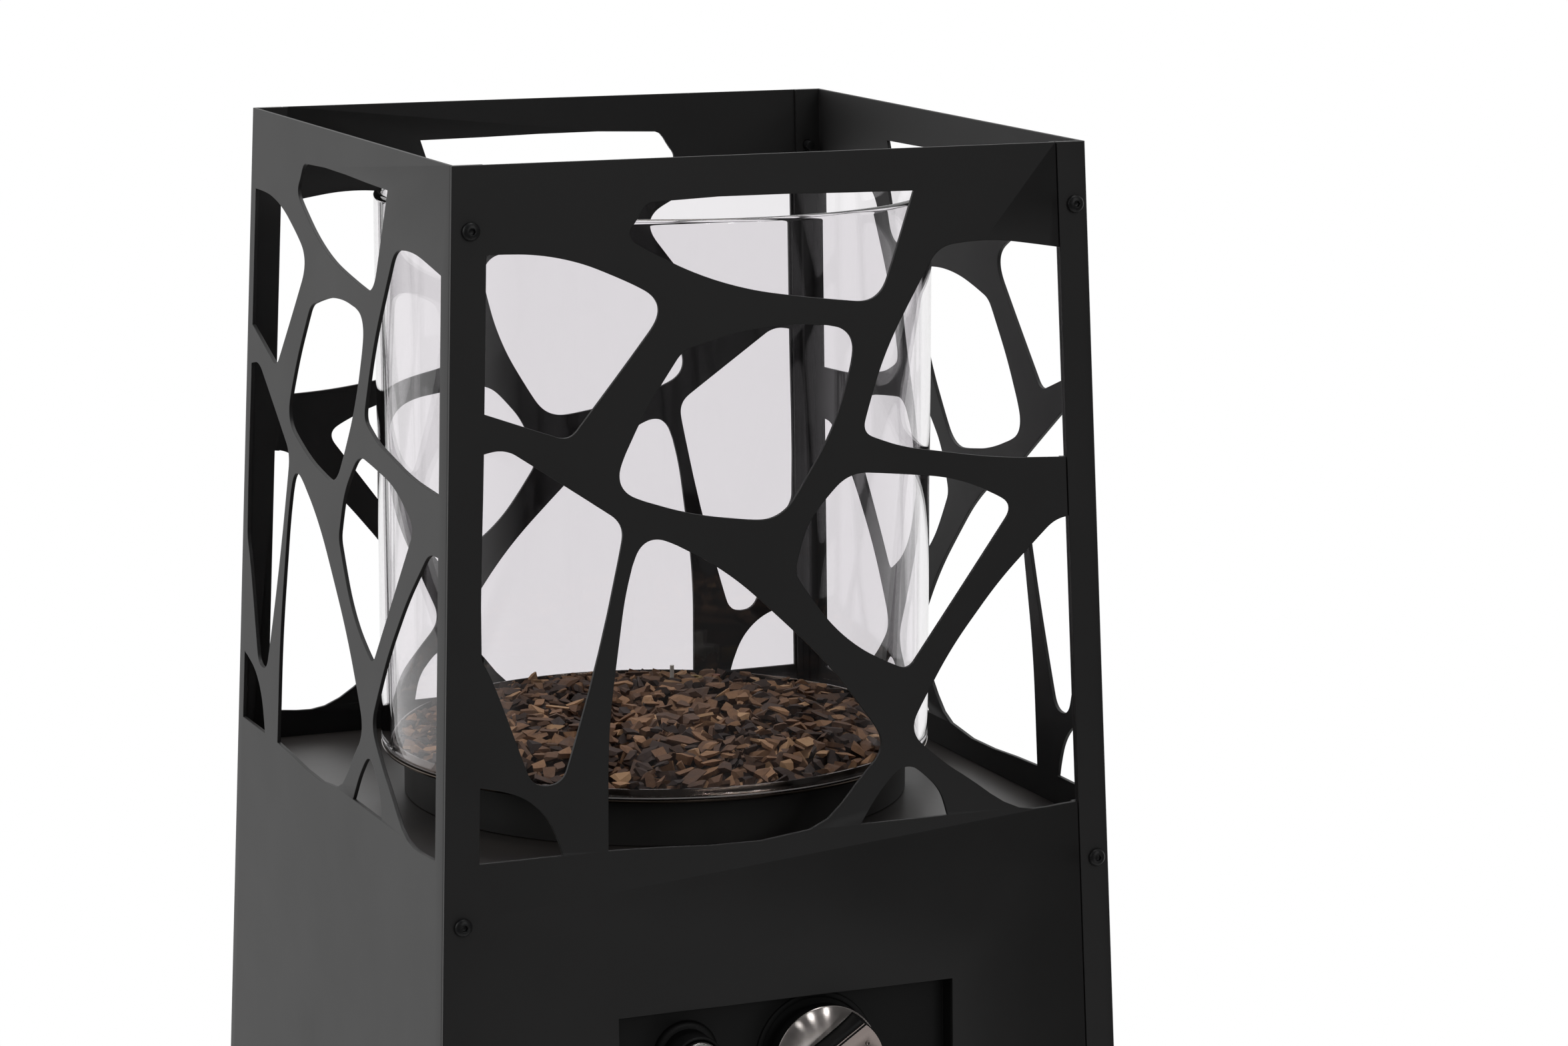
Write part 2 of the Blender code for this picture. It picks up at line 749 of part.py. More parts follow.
def burner_tray():
    """Shallow bowl with a wide rim for the glass, and a lip that keeps the stones off the glass."""
    lip_outer = glass_radius - glass_wall - tray_lip_room
    lip_inner = lip_outer - tray_sheet
    lip_top = tray_top + tray_lip_height
    bowl_inner = tray_bowl_radius - tray_sheet
    profile = [(0, tray_floor), (bowl_inner, tray_floor), (bowl_inner, tray_top), (lip_inner, tray_top),
               (lip_inner, lip_top), (lip_outer, lip_top), (lip_outer, tray_top), (glass_radius, tray_top),
               (glass_radius, tray_top - tray_sheet), (tray_bowl_radius, tray_top - tray_sheet),
               (tray_bowl_radius, tray_floor_low), (0, tray_floor_low)]
    tray = turned('burner_tray', profile, burner_steel)
    radii = (electrode_radius, pilot_radius, probe_radius)
    drills = [(x, y, radius) for (x, y), radius in zip(pilot_places, radii)]
    shape = bmesh.new()
    for x, y, radius in [(0, 0, venturi_radius)] + drills:
        drill = bmesh.ops.create_cone(shape, cap_ends=True, segments=foot_sides, depth=2 * overrun,
                                      radius1=radius + hole_room, radius2=radius + hole_room)
        bmesh.ops.translate(shape, verts=drill['verts'], vec=(x, y, tray_floor))
    return cut(tray, mesh_object('tray_holes', shape, None))


def glass_tube():
    """Tube of heat-proof glass with fire-polished ends."""
    outer, inner = glass_radius, glass_radius - glass_wall
    low, high = glass_low, level(glass_top_drop)
    profile = [(outer - glass_edge, low), (outer, low + glass_edge), (outer, high - glass_edge),
               (outer - glass_edge, high), (inner + glass_edge, high), (inner, high - glass_edge),
               (inner, low + glass_edge), (inner + glass_edge, low)]
    return turned('glass_tube', profile, clear_glass, round_sides, True)


def burner():
    """Ring burner with two feed arms and a mixing tube down through the tray."""
    loops = []
    ring = bmesh.new()
    for i in range(burner_sides):
        angle = 2 * math.pi * i / burner_sides
        loops.append(ring.verts.new((burner_ring_radius + burner_tube_radius * math.cos(angle), 0,
                                     burner_height + burner_tube_radius * math.sin(angle))))
    edges = [ring.edges.new((loops[i - 1], loops[i])) for i in range(burner_sides)]
    bmesh.ops.spin(ring, geom=loops + edges, cent=(0, 0, 0), axis=(0, 0, 1), angle=2 * math.pi,
                   steps=burner_steps, use_merge=True)
    bmesh.ops.remove_doubles(ring, verts=ring.verts, dist=weld_distance)
    piece = mesh_object('burner', ring, burner_steel, True)
    arms = rod('burner_arms', burner_arm_radius, -burner_ring_radius, burner_ring_radius, None, burner_sides)
    weld(piece, place(arms, None, (0, 0, burner_height), (0, quarter_turn, 0)))
    weld(piece, rod('mixing_tube', venturi_radius, venturi_low, burner_height))
    bore_top = burner_height - burner_arm_radius - venturi_wall
    return cut(piece, rod('mixing_bore', venturi_radius - venturi_wall, venturi_low - overrun, bore_top))


def gas_injector():
    """Brass jet whose tip stands in the mouth of the mixing tube."""
    high = venturi_low + injector_reach
    low = high - injector_length
    profile = [(0, high), (injector_tip_radius, high), (injector_tip_radius, high - injector_reach),
               (injector_radius, high - injector_reach - injector_shoulder), (injector_radius, low), (0, low)]
    return turned('gas_injector', profile, brass, foot_sides)


def stone_bed():
    """Bed of stone chips, heaped in the bowl, with a channel underneath for the burner."""
    edge = tray_bowl_radius - tray_sheet - seat_gap
    rim = tray_top + stone_rise
    profile = [(0, stone_low), (edge, stone_low)]
    for i in range(stone_rings, -1, -1):
        share = i / stone_rings
        profile.append((edge * share, rim + stone_crown * (1 - share ** stone_shoulder_power)))
    shape = bmesh.new()
    points = [shape.verts.new((radius, 0, height)) for radius, height in profile]
    edges = [shape.edges.new(pair) for pair in zip(points, points[1:])]
    bmesh.ops.spin(shape, geom=points + edges, cent=(0, 0, 0), axis=(0, 0, 1), angle=2 * math.pi,
                   steps=round_sides, use_merge=True)
    bmesh.ops.remove_doubles(shape, verts=shape.verts, dist=weld_distance)
    wave = 2 * math.pi / stone_pitch
    for point in shape.verts:
        if point.co.z > rim + weld_distance:
            point.co.z += stone_lump * math.sin(wave * point.co.x) * math.cos(wave * point.co.y)
    bed = mesh_object('stone_bed', shape, stone_brown)
    channel_top = burner_height + burner_tube_radius + stone_room
    half = burner_tube_radius + stone_room
    low = stone_low - overrun
    ring = [(burner_ring_radius - half, low), (burner_ring_radius + half, low),
            (burner_ring_radius + half, channel_top), (burner_ring_radius - half, channel_top)]
    cut(bed, turned('ring_channel', ring, None, burner_steps, True))
    cut(bed, block('arm_channel', 2 * burner_ring_radius, 2 * half, low, channel_top - burner_lift))
    cut(bed, rod('tube_channel', venturi_radius + stone_room, low, channel_top - 2 * burner_lift))
    well = block('pilot_well', pilot_well_width, pilot_well_depth, low, rim + stone_crown + overrun, None,
                 0, pilot_x, pilot_y)
    return cut(bed, well)


def pilot_set():
    """Pilot burner and spark electrode, which stand on the tray beside the thermocouple."""
    top = tray_top + stone_rise + pilot_stand
    seat = stone_low
    low = tray_floor_low - pilot_tail
    flange_top = seat + pilot_flange
    pilot = [(0, top - pilot_bore_depth), (pilot_bore, top - pilot_bore_depth), (pilot_bore, top),
             (pilot_radius, top), (pilot_radius, flange_top), (pilot_flange_radius, flange_top),
             (pilot_flange_radius, seat), (pilot_radius, seat), (pilot_radius, low), (0, low)]
    place(turned('pilot_burner', pilot, brass, foot_sides), None, (*pilot_places[1], 0))
    low = tray_floor_low - electrode_tail
    tip = top + electrode_wire_length
    spark = [(0, tip), (electrode_wire, tip), (electrode_wire, top), (electrode_radius, top - electrode_wire),
             (electrode_radius, low), (0, low)]
    place(turned('ignition_electrode', spark, ceramic, foot_sides), None, (*pilot_places[0], 0))


burner_collar()
burner_tray()
glass_tube()
burner()
gas_injector()
stone_bed()
pilot_set()


# Controls, in a frame on the front face at the middle of the recess

control_frame = frame_on_face('control_frame', recess_top_drop + recess_height / 2)
plate_back = -recess_depth - box_sheet
behind_plate = plate_back - seat_gap


def control_box():
    """Pressed box behind the front panel: its floor carries the valve and the igniter."""
    front = -sheet - seat_gap
    skirt = 2 * box_sheet
    brim = skirt + 2 * box_flange
    loops = [rectangle(recess_width, recess_height, -recess_depth),
             rectangle(recess_width, recess_height, front),
             rectangle(recess_width + brim, recess_height + brim, front),
             rectangle(recess_width + brim, recess_height + brim, front - box_sheet),
             rectangle(recess_width + skirt, recess_height + skirt, front - box_sheet),
             rectangle(recess_width + skirt, recess_height + skirt, plate_back)]
    pan = place(lofted('control_box', loops, powder_coat), control_frame)
    shape = bmesh.new()
    holes = ((knob_across, knob_rise, plate_hole_radius),
             (igniter_across, igniter_rise, igniter_tail_radius + hole_room))
    for x, y, radius in holes:
        drill = bmesh.ops.create_cone(shape, cap_ends=True, segments=foot_sides, depth=2 * overrun,
                                      radius1=radius, radius2=radius)
        bmesh.ops.translate(shape, verts=drill['verts'], vec=(x, y, -recess_depth))
    return cut(pan, place(mesh_object('control_holes', shape, None), control_frame))


cut(front_panel, place(block('recess_cut', recess_width, recess_height, -sheet - overrun, overrun),
                       control_frame))
control_box()

knob_at = (knob_across, knob_rise, 0)
igniter_at = (igniter_across, igniter_rise, 0)


def bar_loop(radius, width, height, steps=bar_end_steps):
    """A bar across a circle: two straight sides, with ends that follow the circle."""
    reach = math.asin(width / 2 / radius)
    loop = []
    for middle in (0, half_turn):
        for i in range(steps + 1):
            angle = middle - reach + 2 * reach * i / steps
            loop.append((radius * math.cos(angle), radius * math.sin(angle), height))
    return loop


def knob_cap():
    """Knob with a plated dome, a skirt and hub behind it, and a slot for the grip."""
    inner = knob_skirt_radius - knob_shell
    profile = [(0, knob_crown), (knob_shoulder_share * knob_radius, knob_shoulder), (knob_radius, knob_edge),
               (knob_radius, knob_lip), (knob_skirt_radius, knob_lip), (knob_skirt_radius, -knob_skirt_back),
               (inner, -knob_skirt_back), (inner, 0), (knob_hub_radius, 0),
               (knob_hub_radius, -knob_hub_reach), (spindle_radius + spindle_room, -knob_hub_reach),
               (spindle_radius + spindle_room, -spindle_room), (0, -spindle_room)]
    cap = place(turned('knob', profile, chrome), control_frame, knob_at, (0, 0, knob_tilt))
    slot = lofted('grip_slot', [bar_loop(grip_radius + seat_gap, grip_width + 2 * seat_gap, z)
                                for z in (grip_seat - seat_gap, knob_crown + overrun)], None)
    return cut(cap, place(slot, control_frame, knob_at, (0, 0, knob_tilt)))


def knob_trim():
    """Grip bar across the cap, and the bright strip let into the top of it."""
    loops = [bar_loop(grip_radius, grip_width, grip_seat),
             bar_loop(grip_radius - grip_taper, grip_width - 2 * grip_taper, grip_height)]
    place(lofted('knob_grip', loops, black_plastic), control_frame, knob_at, (0, 0, knob_tilt))
    low = grip_height + seat_gap
    loops = [bar_loop(inlay_radius, inlay_width, z) for z in (low, low + inlay_height)]
    place(lofted('knob_inlay', loops, satin_silver), control_frame, knob_at, (0, 0, knob_tilt))
    low = -recess_depth + seat_gap
    high = low + bezel_height
    profile = [(bezel_radius, low), (bezel_radius, high), (bezel_inner_radius, high),
               (bezel_inner_radius, low)]
    place(turned('knob_bezel', profile, black_plastic, round_sides, True), control_frame, knob_at)


def valve():
    """Gas valve: a die-cast body with a turning plug, and a spindle that slides through the plug."""
    front = behind_plate - valve_nose_length
    back = front - valve_length
    body = block('valve_body', valve_width, valve_height, back, front, die_cast, valve_edge)
    place(body, control_frame, knob_at)
    nose = rod('valve_nose', valve_nose_radius, front - overrun, behind_plate)
    weld(body, place(nose, control_frame, knob_at))
    inlet = rod('inlet_port', port_radius, -overrun, valve_height / 2 + port_length)
    at = (knob_across, knob_rise, front - port_depth)
    weld(body, place(inlet, control_frame, at, (quarter_turn, 0, 0)))
    outlet = rod('outlet_port', port_radius, back - port_length, back + overrun)
    weld(body, place(outlet, control_frame, knob_at))
    small = rod('pilot_port', small_port_radius, 0, valve_height / 2 + small_port_length)
    at = (knob_across + small_port_across, knob_rise, front - small_port_depth)
    weld(body, place(small, control_frame, at, (-quarter_turn, 0, 0)))
    cavity_front = behind_plate - valve_nose_wall
    plug_front = cavity_front - seat_gap
    plug_back = plug_front - plug_length
    wide, narrow = plug_radius + plug_room, spindle_radius + 2 * spindle_room
    profile = [(0, behind_plate + overrun), (narrow, behind_plate + overrun), (narrow, cavity_front),
               (wide, cavity_front), (wide, plug_back - seat_gap), (0, plug_back - seat_gap)]
    cut(body, place(turned('valve_cavity', profile, None, foot_sides), control_frame, knob_at))
    bore = spindle_radius + spindle_room
    bore_back = plug_back + plug_bore_end
    profile = [(bore, plug_front), (plug_radius, plug_front), (plug_radius, plug_back), (0, plug_back)]
    profile = [(0, bore_back), (bore, bore_back)] + profile
    place(turned('valve_plug', profile, brass, foot_sides), control_frame, knob_at)
    stem = rod('valve_spindle', spindle_radius, -spindle_back, -2 * spindle_room, burner_steel, foot_sides)
    place(stem, control_frame, knob_at)
    return front, back


knob_cap()
knob_trim()
valve_front, valve_back = valve()


def hose_inlet():
    """Barbed inlet under the valve, where the gas hose is pushed on."""
    seat = valve_height / 2 + port_length + seat_gap
    end = seat + hose_nut_height + hose_inlet_length
    profile = [(0, seat), (hose_nut_radius, seat), (hose_nut_radius, seat + hose_nut_height),
               (hose_inlet_radius, seat + hose_nut_height)]
    for i in range(hose_barbs):
        root = seat + hose_nut_height + hose_barb_pitch * (i + 1)
        profile += [(hose_inlet_radius, root), (hose_barb_radius, root),
                    (hose_inlet_radius, root + hose_barb_pitch - seat_gap)]
    profile += [(hose_inlet_radius, end), (0, end)]
    piece = turned('hose_inlet', profile, brass, foot_sides)
    at = (knob_across, knob_rise, valve_front - port_depth)
    return place(piece, control_frame, at, (quarter_turn, 0, 0))


def igniter():
    """Push-button igniter: barrel through the plate, nut behind it and a sprung button."""
    flange_back = -recess_depth + seat_gap
    flange_front = flange_back + igniter_flange
    bore = igniter_button_radius + igniter_button_room
    profile = [(0, -igniter_tail), (igniter_tail_radius, -igniter_tail), (igniter_tail_radius, flange_back),
               (igniter_flange_radius, flange_back), (igniter_flange_radius, flange_front),
               (igniter_barrel_radius, flange_front), (igniter_barrel_radius, igniter_barrel_reach),
               (bore, igniter_barrel_reach), (bore, -igniter_bore_depth), (0, -igniter_bore_depth)]
    place(turned('igniter_body', profile, black_plastic, foot_sides), control_frame, igniter_at)
    front, edge, radius = igniter_button_reach, igniter_button_edge, igniter_button_radius
    profile = [(0, front), (radius - edge, front), (radius, front - edge), (radius, -igniter_button_back),
               (0, -igniter_button_back)]
    place(turned('igniter_button', profile, chrome, foot_sides), control_frame, igniter_at)
    nut = rod('igniter_nut', igniter_nut_flats / math.sqrt(3), behind_plate - igniter_nut_height,
              behind_plate, black_plastic, 6)
    place(nut, control_frame, igniter_at)
    bore_tool = rod('igniter_nut_bore', igniter_tail_radius + hole_room,
                    behind_plate - igniter_nut_height - overrun, behind_plate + overrun)
    return cut(nut, place(bore_tool, control_frame, igniter_at))


def tilt_switch():
    """Switch that shuts the gas off if the heater falls over."""
    back = behind_plate - tilt_switch_depth
    piece = block('tilt_switch', tilt_switch_width, tilt_switch_height, back, behind_plate, black_plastic,
                  tilt_switch_edge)
    return place(piece, control_frame, (tilt_switch_across, 0, 0))


hose_inlet()
igniter()
tilt_switch()


# Pipes and leads


def smooth_route(knots, count):
    """Straight ends, and evenly spaced points of a Catmull-Rom curve through the knots between."""
    points = [Vector(knot) for knot in knots]
    dense = []
    for i in range(1, len(points) - 2):
        a, b, c, d = points[i - 1:i + 3]
        for j in range(route_steps):
            t = j / route_steps
            dense.append(0.5 * (2 * b + (c - a) * t + (2 * a - 5 * b + 4 * c - d) * t * t
                                + (3 * b - a - 3 * c + d) * t ** 3))
    dense.append(points[-2])
    lengths = [0]
    for near, far in zip(dense, dense[1:]):
        lengths.append(lengths[-1] + (far - near).length)
    route = [points[0]]
    k = 0
    for i in range(count):
        goal = lengths[-1] * i / (count - 1)
        while k < len(dense) - 2 and lengths[k + 1] < goal:
            k += 1
        span = lengths[k + 1] - lengths[k]
        route.append(dense[k].lerp(dense[k + 1], (goal - lengths[k]) / span))
    return route + [points[-1]]


def pipe(name, knots, points, radius, material, tip_radius=None, tip_length=0):
    """A bent tube along a route. Its last stretch can be thicker, as a probe's tip is."""
    route = smooth_route(knots, points)
    curve = bpy.data.curves.new(name, 'CURVE')
    curve.dimensions = '3D'
    curve.bevel_depth = radius
    curve.bevel_resolution = pipe_resolution
    curve.use_fill_caps = True
    spline = curve.splines.new('POLY')
    if tip_radius:
        end = route[-1]
        route = [point for point in route if (point - end).length > tip_length + radius]
        start = end - Vector((0, 0, tip_length))
        route += [start - Vector((0, 0, radius)), start, end]
    spline.points.add(len(route) - 1)
    for point, here in zip(spline.points, route):
        point.co = (*here, 1)
        point.radius = 1
    if tip_radius:
        spline.points[-1].radius = tip_radius / radius
        spline.points[-2].radius = tip_radius / radius
    return add_object(name, curve, material)


def in_world(x, y, z):
    """World place of a point in the control frame."""
    bpy.context.view_layer.update()
    return control_frame.matrix_world @ Vector((x, y, z))


def way_points(start, end, shares):
    """World places of a route's way points, each measured from one end of the route."""
    return [(end if from_end else start) + Vector(step) * top_width for from_end, *step in shares]


straight_back = Vector((0, pipe_straight, 0))
straight_up = Vector((0, 0, pipe_straight))

outlet = in_world(knob_across, knob_rise, valve_back - port_length - seat_gap)
injector_end = Vector((0, 0, venturi_low + injector_reach - injector_length - seat_gap))
pipe('gas_pipe', [outlet, outlet + straight_back, *way_points(outlet, injector_end, gas_route_shares),
                  injector_end - straight_up, injector_end], gas_pipe_points, gas_pipe_radius, copper)

small_port_rise = knob_rise + valve_height / 2 + small_port_length + seat_gap
small_port = in_world(knob_across + small_port_across, small_port_rise, valve_front - small_port_depth)
pilot_end = Vector((*pilot_places[1], tray_floor_low - pilot_tail - seat_gap))
pipe('pilot_pipe', [small_port, small_port + straight_up,
                    *way_points(small_port, pilot_end, pilot_route_shares),
                    pilot_end - straight_up, pilot_end], lead_points, pilot_pipe_radius, copper)

probe_nut = in_world(knob_across + small_port_across, knob_rise, valve_back - seat_gap)
probe_end = Vector((*pilot_places[2], tray_top + stone_rise + pilot_stand))
probe_foot = probe_end - Vector((0, 0, probe_length))
pipe('thermocouple', [probe_nut, probe_nut + straight_back,
                      *way_points(probe_nut, probe_foot, probe_route_shares),
                      probe_foot - straight_up, probe_foot, probe_end], lead_points, probe_lead_radius,
     copper, probe_radius, probe_length)

spark_plug = in_world(igniter_across, igniter_rise, -igniter_tail - seat_gap)
spark_end = Vector((*pilot_places[0], tray_floor_low - electrode_tail - seat_gap))
pipe('ignition_lead', [spark_plug, spark_plug + straight_back,
                       *way_points(spark_plug, spark_end, spark_route_shares),
                       spark_end - straight_up, spark_end], lead_points, spark_lead_radius, silicone)

switch_end = in_world(tilt_switch_across, 0, behind_plate - tilt_switch_depth - seat_gap)
valve_side = in_world(knob_across + valve_width / 2 + seat_gap, 0, valve_front - small_port_depth)
pipe('tilt_lead', [switch_end, switch_end + straight_back,
                   *way_points(switch_end, valve_side, tilt_route_shares),
                   valve_side + Vector((pipe_straight / 2, 0, 0)), valve_side], short_lead_points,
     tilt_lead_radius, black_plastic)


# Bottle door, in a frame on the back face at the middle of the door

door_frame = frame_on_face('door_frame', door_top_drop + door_height / 2, half_turn)
hinge_x = hinge_inset - door_width / 2
latch_x = door_width / 2 - latch_inset
door_hinge = place(add_object('door_hinge', None), door_frame, (hinge_x, 0, -hinge_depth))
cut(back_panel, place(block('door_cut', door_width + 2 * door_gap, door_height + 2 * door_gap,
                            -sheet - overrun, overrun), door_frame))


def door_leaf():
    """Pan-shaped door with folded edges, notched beside the latch."""
    outer, inner = (door_width, door_height), (door_width - 2 * sheet, door_height - 2 * sheet)
    middle = -hinge_x
    front, floor, back = hinge_depth, hinge_depth - sheet, hinge_depth - door_depth
    loops = [rectangle(*outer, front, middle), rectangle(*outer, back, middle),
             rectangle(*inner, back, middle), rectangle(*inner, floor, middle)]
    leaf = place(lofted('door', loops, powder_coat), door_hinge)
    pins = rod('door_pin_holes', pin_radius + pin_room, -door_height / 2 - overrun, door_height / 2 + overrun)
    cut(leaf, place(pins, door_hinge, (0, 0, 0), (quarter_turn, 0, 0)))
    hole = rod('latch_hole', latch_hole_radius, -sheet - overrun, overrun)
    cut(leaf, place(hole, door_frame, (latch_x, 0, 0)))
    low, high = -cam_width / 2 - cam_notch_room, cam_reach + cam_notch_room
    notch = block('cam_notch', 2 * (sheet + overrun), high - low, -door_depth - overrun, -sheet - cam_gap / 2,
                  None, 0, door_width / 2, (low + high) / 2)
    return cut(leaf, place(notch, door_frame))


def hinge(name, side):
    """Bracket inside the back panel with an ear over the door's edge, and the pin through both."""
    near = door_height / 2 + ear_lift
    wall = -sheet - seat_gap
    outline = [(near, wall), (near + ear_height, wall), (near + ear_height, wall - sheet),
               (near + sheet, wall - sheet), (near + sheet, -ear_reach), (near, -ear_reach)]
    ends = (hinge_x - ear_width / 2, hinge_x + ear_width / 2)
    loops = [[(x, side * y, z) for y, z in outline] for x in ends]
    bracket = place(lofted(f'hinge_bracket_{name}', loops, powder_coat), door_frame)
    drill = rod(f'bracket_hole_{name}', pin_radius + hole_room, -overrun, overrun)
    at = (hinge_x, side * (near + sheet / 2), -hinge_depth)
    cut(bracket, place(drill, door_frame, at, (quarter_turn, 0, 0)))
    seat = near + sheet + seat_gap
    end = door_height / 2 - pin_reach
    profile = [(0, seat + pin_head), (pin_head_radius, seat + pin_head), (pin_head_radius, seat),
               (pin_radius, seat), (pin_radius, end), (0, end)]
    pin = turned(f'door_pin_{name}', profile, burner_steel, foot_sides)
    place(pin, door_frame, (hinge_x, 0, -hinge_depth), (-side * quarter_turn, 0, 0))


def latch():
    """Quarter-turn latch: a knob outside, and a cam riveted on its shaft inside."""
    front = seat_gap + latch_knob_base
    cam_front = -sheet - cam_gap
    cam_back = cam_front - cam_sheet
    rivet = cam_back - seat_gap
    profile = [(0, front), (latch_knob_radius - seat_gap, front), (latch_knob_radius, front - seat_gap),
               (latch_knob_radius, seat_gap), (latch_shaft_radius, seat_gap), (latch_shaft_radius, rivet),
               (rivet_radius, rivet), (rivet_radius, rivet - rivet_head), (0, rivet - rivet_head)]
    knob = place(turned('latch_knob', profile, black_plastic, foot_sides), door_frame, (latch_x, 0, 0))
    bar = block('latch_bar_weld', latch_bar, 2 * latch_knob_radius - latch_bar, front - latch_bar_sink,
                latch_knob_height)
    weld(knob, place(bar, door_frame, (latch_x, 0, 0)))
    half = cam_width / 2
    outline = [(half, cam_reach), (-half, cam_reach)]
    for i in range(cam_round_steps + 1):
        angle = half_turn + half_turn * i / cam_round_steps
        outline.append((half * math.cos(angle), half * math.sin(angle)))
    cam = lofted('latch_cam', [[(x, y, z) for x, y in outline] for z in (cam_back, cam_front)], burner_steel)
    place(cam, door_frame, (latch_x, 0, 0))
    bore = rod('cam_hole', latch_shaft_radius + seat_gap, cam_back - overrun, cam_front + overrun)
    cut(cam, place(bore, door_frame, (latch_x, 0, 0)))


door_leaf()
hinge('upper', 1)
hinge('lower', -1)
latch()
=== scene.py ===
"""Looks of the pyramid patio heater: fine pieces over the CAD frame, finishes, light and camera.

Metres, +Z up. The front face looks towards -Y. Places repeat the sizes of the part's source.
"""
import math

import bpy
import numpy as np
from mathutils import Matrix, Vector
from mathutils.kdtree import KDTree


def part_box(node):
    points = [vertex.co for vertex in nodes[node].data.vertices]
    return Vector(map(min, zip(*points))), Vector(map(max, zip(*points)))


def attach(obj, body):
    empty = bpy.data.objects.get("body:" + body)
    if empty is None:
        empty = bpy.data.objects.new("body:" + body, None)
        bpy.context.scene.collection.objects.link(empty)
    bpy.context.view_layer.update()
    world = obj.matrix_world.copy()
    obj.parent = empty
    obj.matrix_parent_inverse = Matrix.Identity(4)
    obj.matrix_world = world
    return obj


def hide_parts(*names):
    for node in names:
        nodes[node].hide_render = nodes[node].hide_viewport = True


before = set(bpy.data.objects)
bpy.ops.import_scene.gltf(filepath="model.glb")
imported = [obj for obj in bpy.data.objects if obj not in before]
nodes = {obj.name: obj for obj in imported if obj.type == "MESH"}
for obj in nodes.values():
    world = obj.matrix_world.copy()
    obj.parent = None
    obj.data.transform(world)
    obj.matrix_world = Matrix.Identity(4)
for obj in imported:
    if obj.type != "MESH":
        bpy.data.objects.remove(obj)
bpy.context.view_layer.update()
scene = bpy.context.scene

body_top = 1.140
body_height = 1.122
top_width = 0.350
lean_share = 0.0352
lean = math.atan(lean_share)
sheet = 0.002
seat_gap = 0.0003
mm = 0.001
quarter_turn = math.pi / 2
half_turn = math.pi
full_turn = 2 * math.pi


# Places on the shell

deck_drop = 0.3695
recess_below_deck = 0.0724
recess_height = 0.084
recess_floor = seat_gap - 0.012
knob_across, knob_rise = 0.0197, 0.0068
igniter_across, igniter_rise = -0.054, 0.0155
knob_turn = math.radians(33)


def face_place(drop, across, turn=0.0):
    """Place and turn of a point on a shell face: X across, Y up the slope and Z out of the face."""
    reach = top_width / 2 + lean_share * drop
    at = Vector((across * math.cos(turn) + reach * math.sin(turn),
                 across * math.sin(turn) - reach * math.cos(turn), body_top - drop))
    upright = Matrix.Rotation(quarter_turn - lean, 4, 'X')
    return Matrix.Translation(at) @ Matrix.Rotation(turn, 4, 'Z') @ upright


def control_frame(across, rise, turn=0.0):
    """Frame of a control, flush with the front face, from the middle of the recess."""
    middle = face_place(deck_drop + recess_below_deck + recess_height / 2, 0)
    return middle @ Matrix.Translation((across, rise, 0)) @ Matrix.Rotation(turn, 4, 'Z')


knob_frame = control_frame(knob_across, knob_rise, knob_turn)
igniter_frame = control_frame(igniter_across, igniter_rise)
knob_middle = knob_frame.translation


# Camera at the photograph's place


def photo_camera():
    """Long lens, to the left of the front and above the rim."""
    yaw, pitch, roll = (math.radians(angle) for angle in (23.114, 10.565, 0.131))
    forward = Vector((math.sin(yaw) * math.cos(pitch), math.cos(yaw) * math.cos(pitch), -math.sin(pitch)))
    level_right = Vector((math.cos(yaw), -math.sin(yaw), 0))
    level_up = level_right.cross(forward)
    right = level_right * math.cos(roll) + level_up * math.sin(roll)
    up = level_up * math.cos(roll) - level_right * math.sin(roll)
    away, aside, below = 2.358, 0.07195, 0.21754
    place = Vector((0, 0, body_top)) - forward * away + level_right * aside - level_up * below
    data = bpy.data.cameras.new("photo_camera")
    data.sensor_fit = 'HORIZONTAL'
    data.sensor_width = 36
    data.lens = 99.29
    camera = bpy.data.objects.new("photo_camera", data)
    scene.collection.objects.link(camera)
    turn = Matrix((right, up, -forward)).transposed().to_4x4()
    camera.matrix_world = Matrix.Translation(place) @ turn
    scene.camera = camera


photo_camera()


# Tools of the bench


def linear(code):
    """Linear colour of an sRGB hex value."""
    shares = [int(code[i:i + 2], 16) / 255 for i in (1, 3, 5)]
    return tuple(s / 12.92 if s <= 0.04045 else ((s + 0.055) / 1.055) ** 2.4 for s in shares) + (1,)


def per_mm(size):
    """Texture scale at which one grain of a pattern is this many millimetres."""
    return 1 / (size * mm)


def per_ring(width):
    """Scale of a wave texture whose rings are this many millimetres wide: at 1 they are pi / 10 metres."""
    return per_mm(width) * math.pi / 10


def set_stops(ramp, stops):
    """Give a colour ramp its stops, each a place and a hex value."""
    while len(ramp.elements) < len(stops):
        ramp.elements.new(0.5)
    for element, (at, code) in zip(ramp.elements, stops):
        element.position = at
        element.color = linear(code)


def set_node(tree, node, settings=None, links=None):
    """Set a node's sockets, properties and colour stops, and link its inputs.

    A link comes from one output of a node, or from a whole node, whose first output is then taken.
    """
    for name, value in (settings or {}).items():
        if name == 'stops':
            set_stops(node.color_ramp, value)
        elif isinstance(name, int) or name in node.inputs:
            node.inputs[name].default_value = value
        else:
            setattr(node, name, value)
    for name, source in (links or {}).items():
        output = source.outputs[0] if isinstance(source, bpy.types.Node) else source
        tree.links.new(output, node.inputs[name])


def add(tree, kind, settings=None, links=None):
    """Add a node with its settings and links."""
    node = tree.nodes.new(kind)
    set_node(tree, node, settings, links)
    return node


def start_finish(name):
    """A new material with its tree, its Principled shader and the Object coordinates."""
    material = bpy.data.materials.new(name)
    material.use_nodes = True
    tree = material.node_tree
    where = add(tree, 'ShaderNodeTexCoord').outputs['Object']
    return material, tree, tree.nodes['Principled BSDF'], where


# Finishes


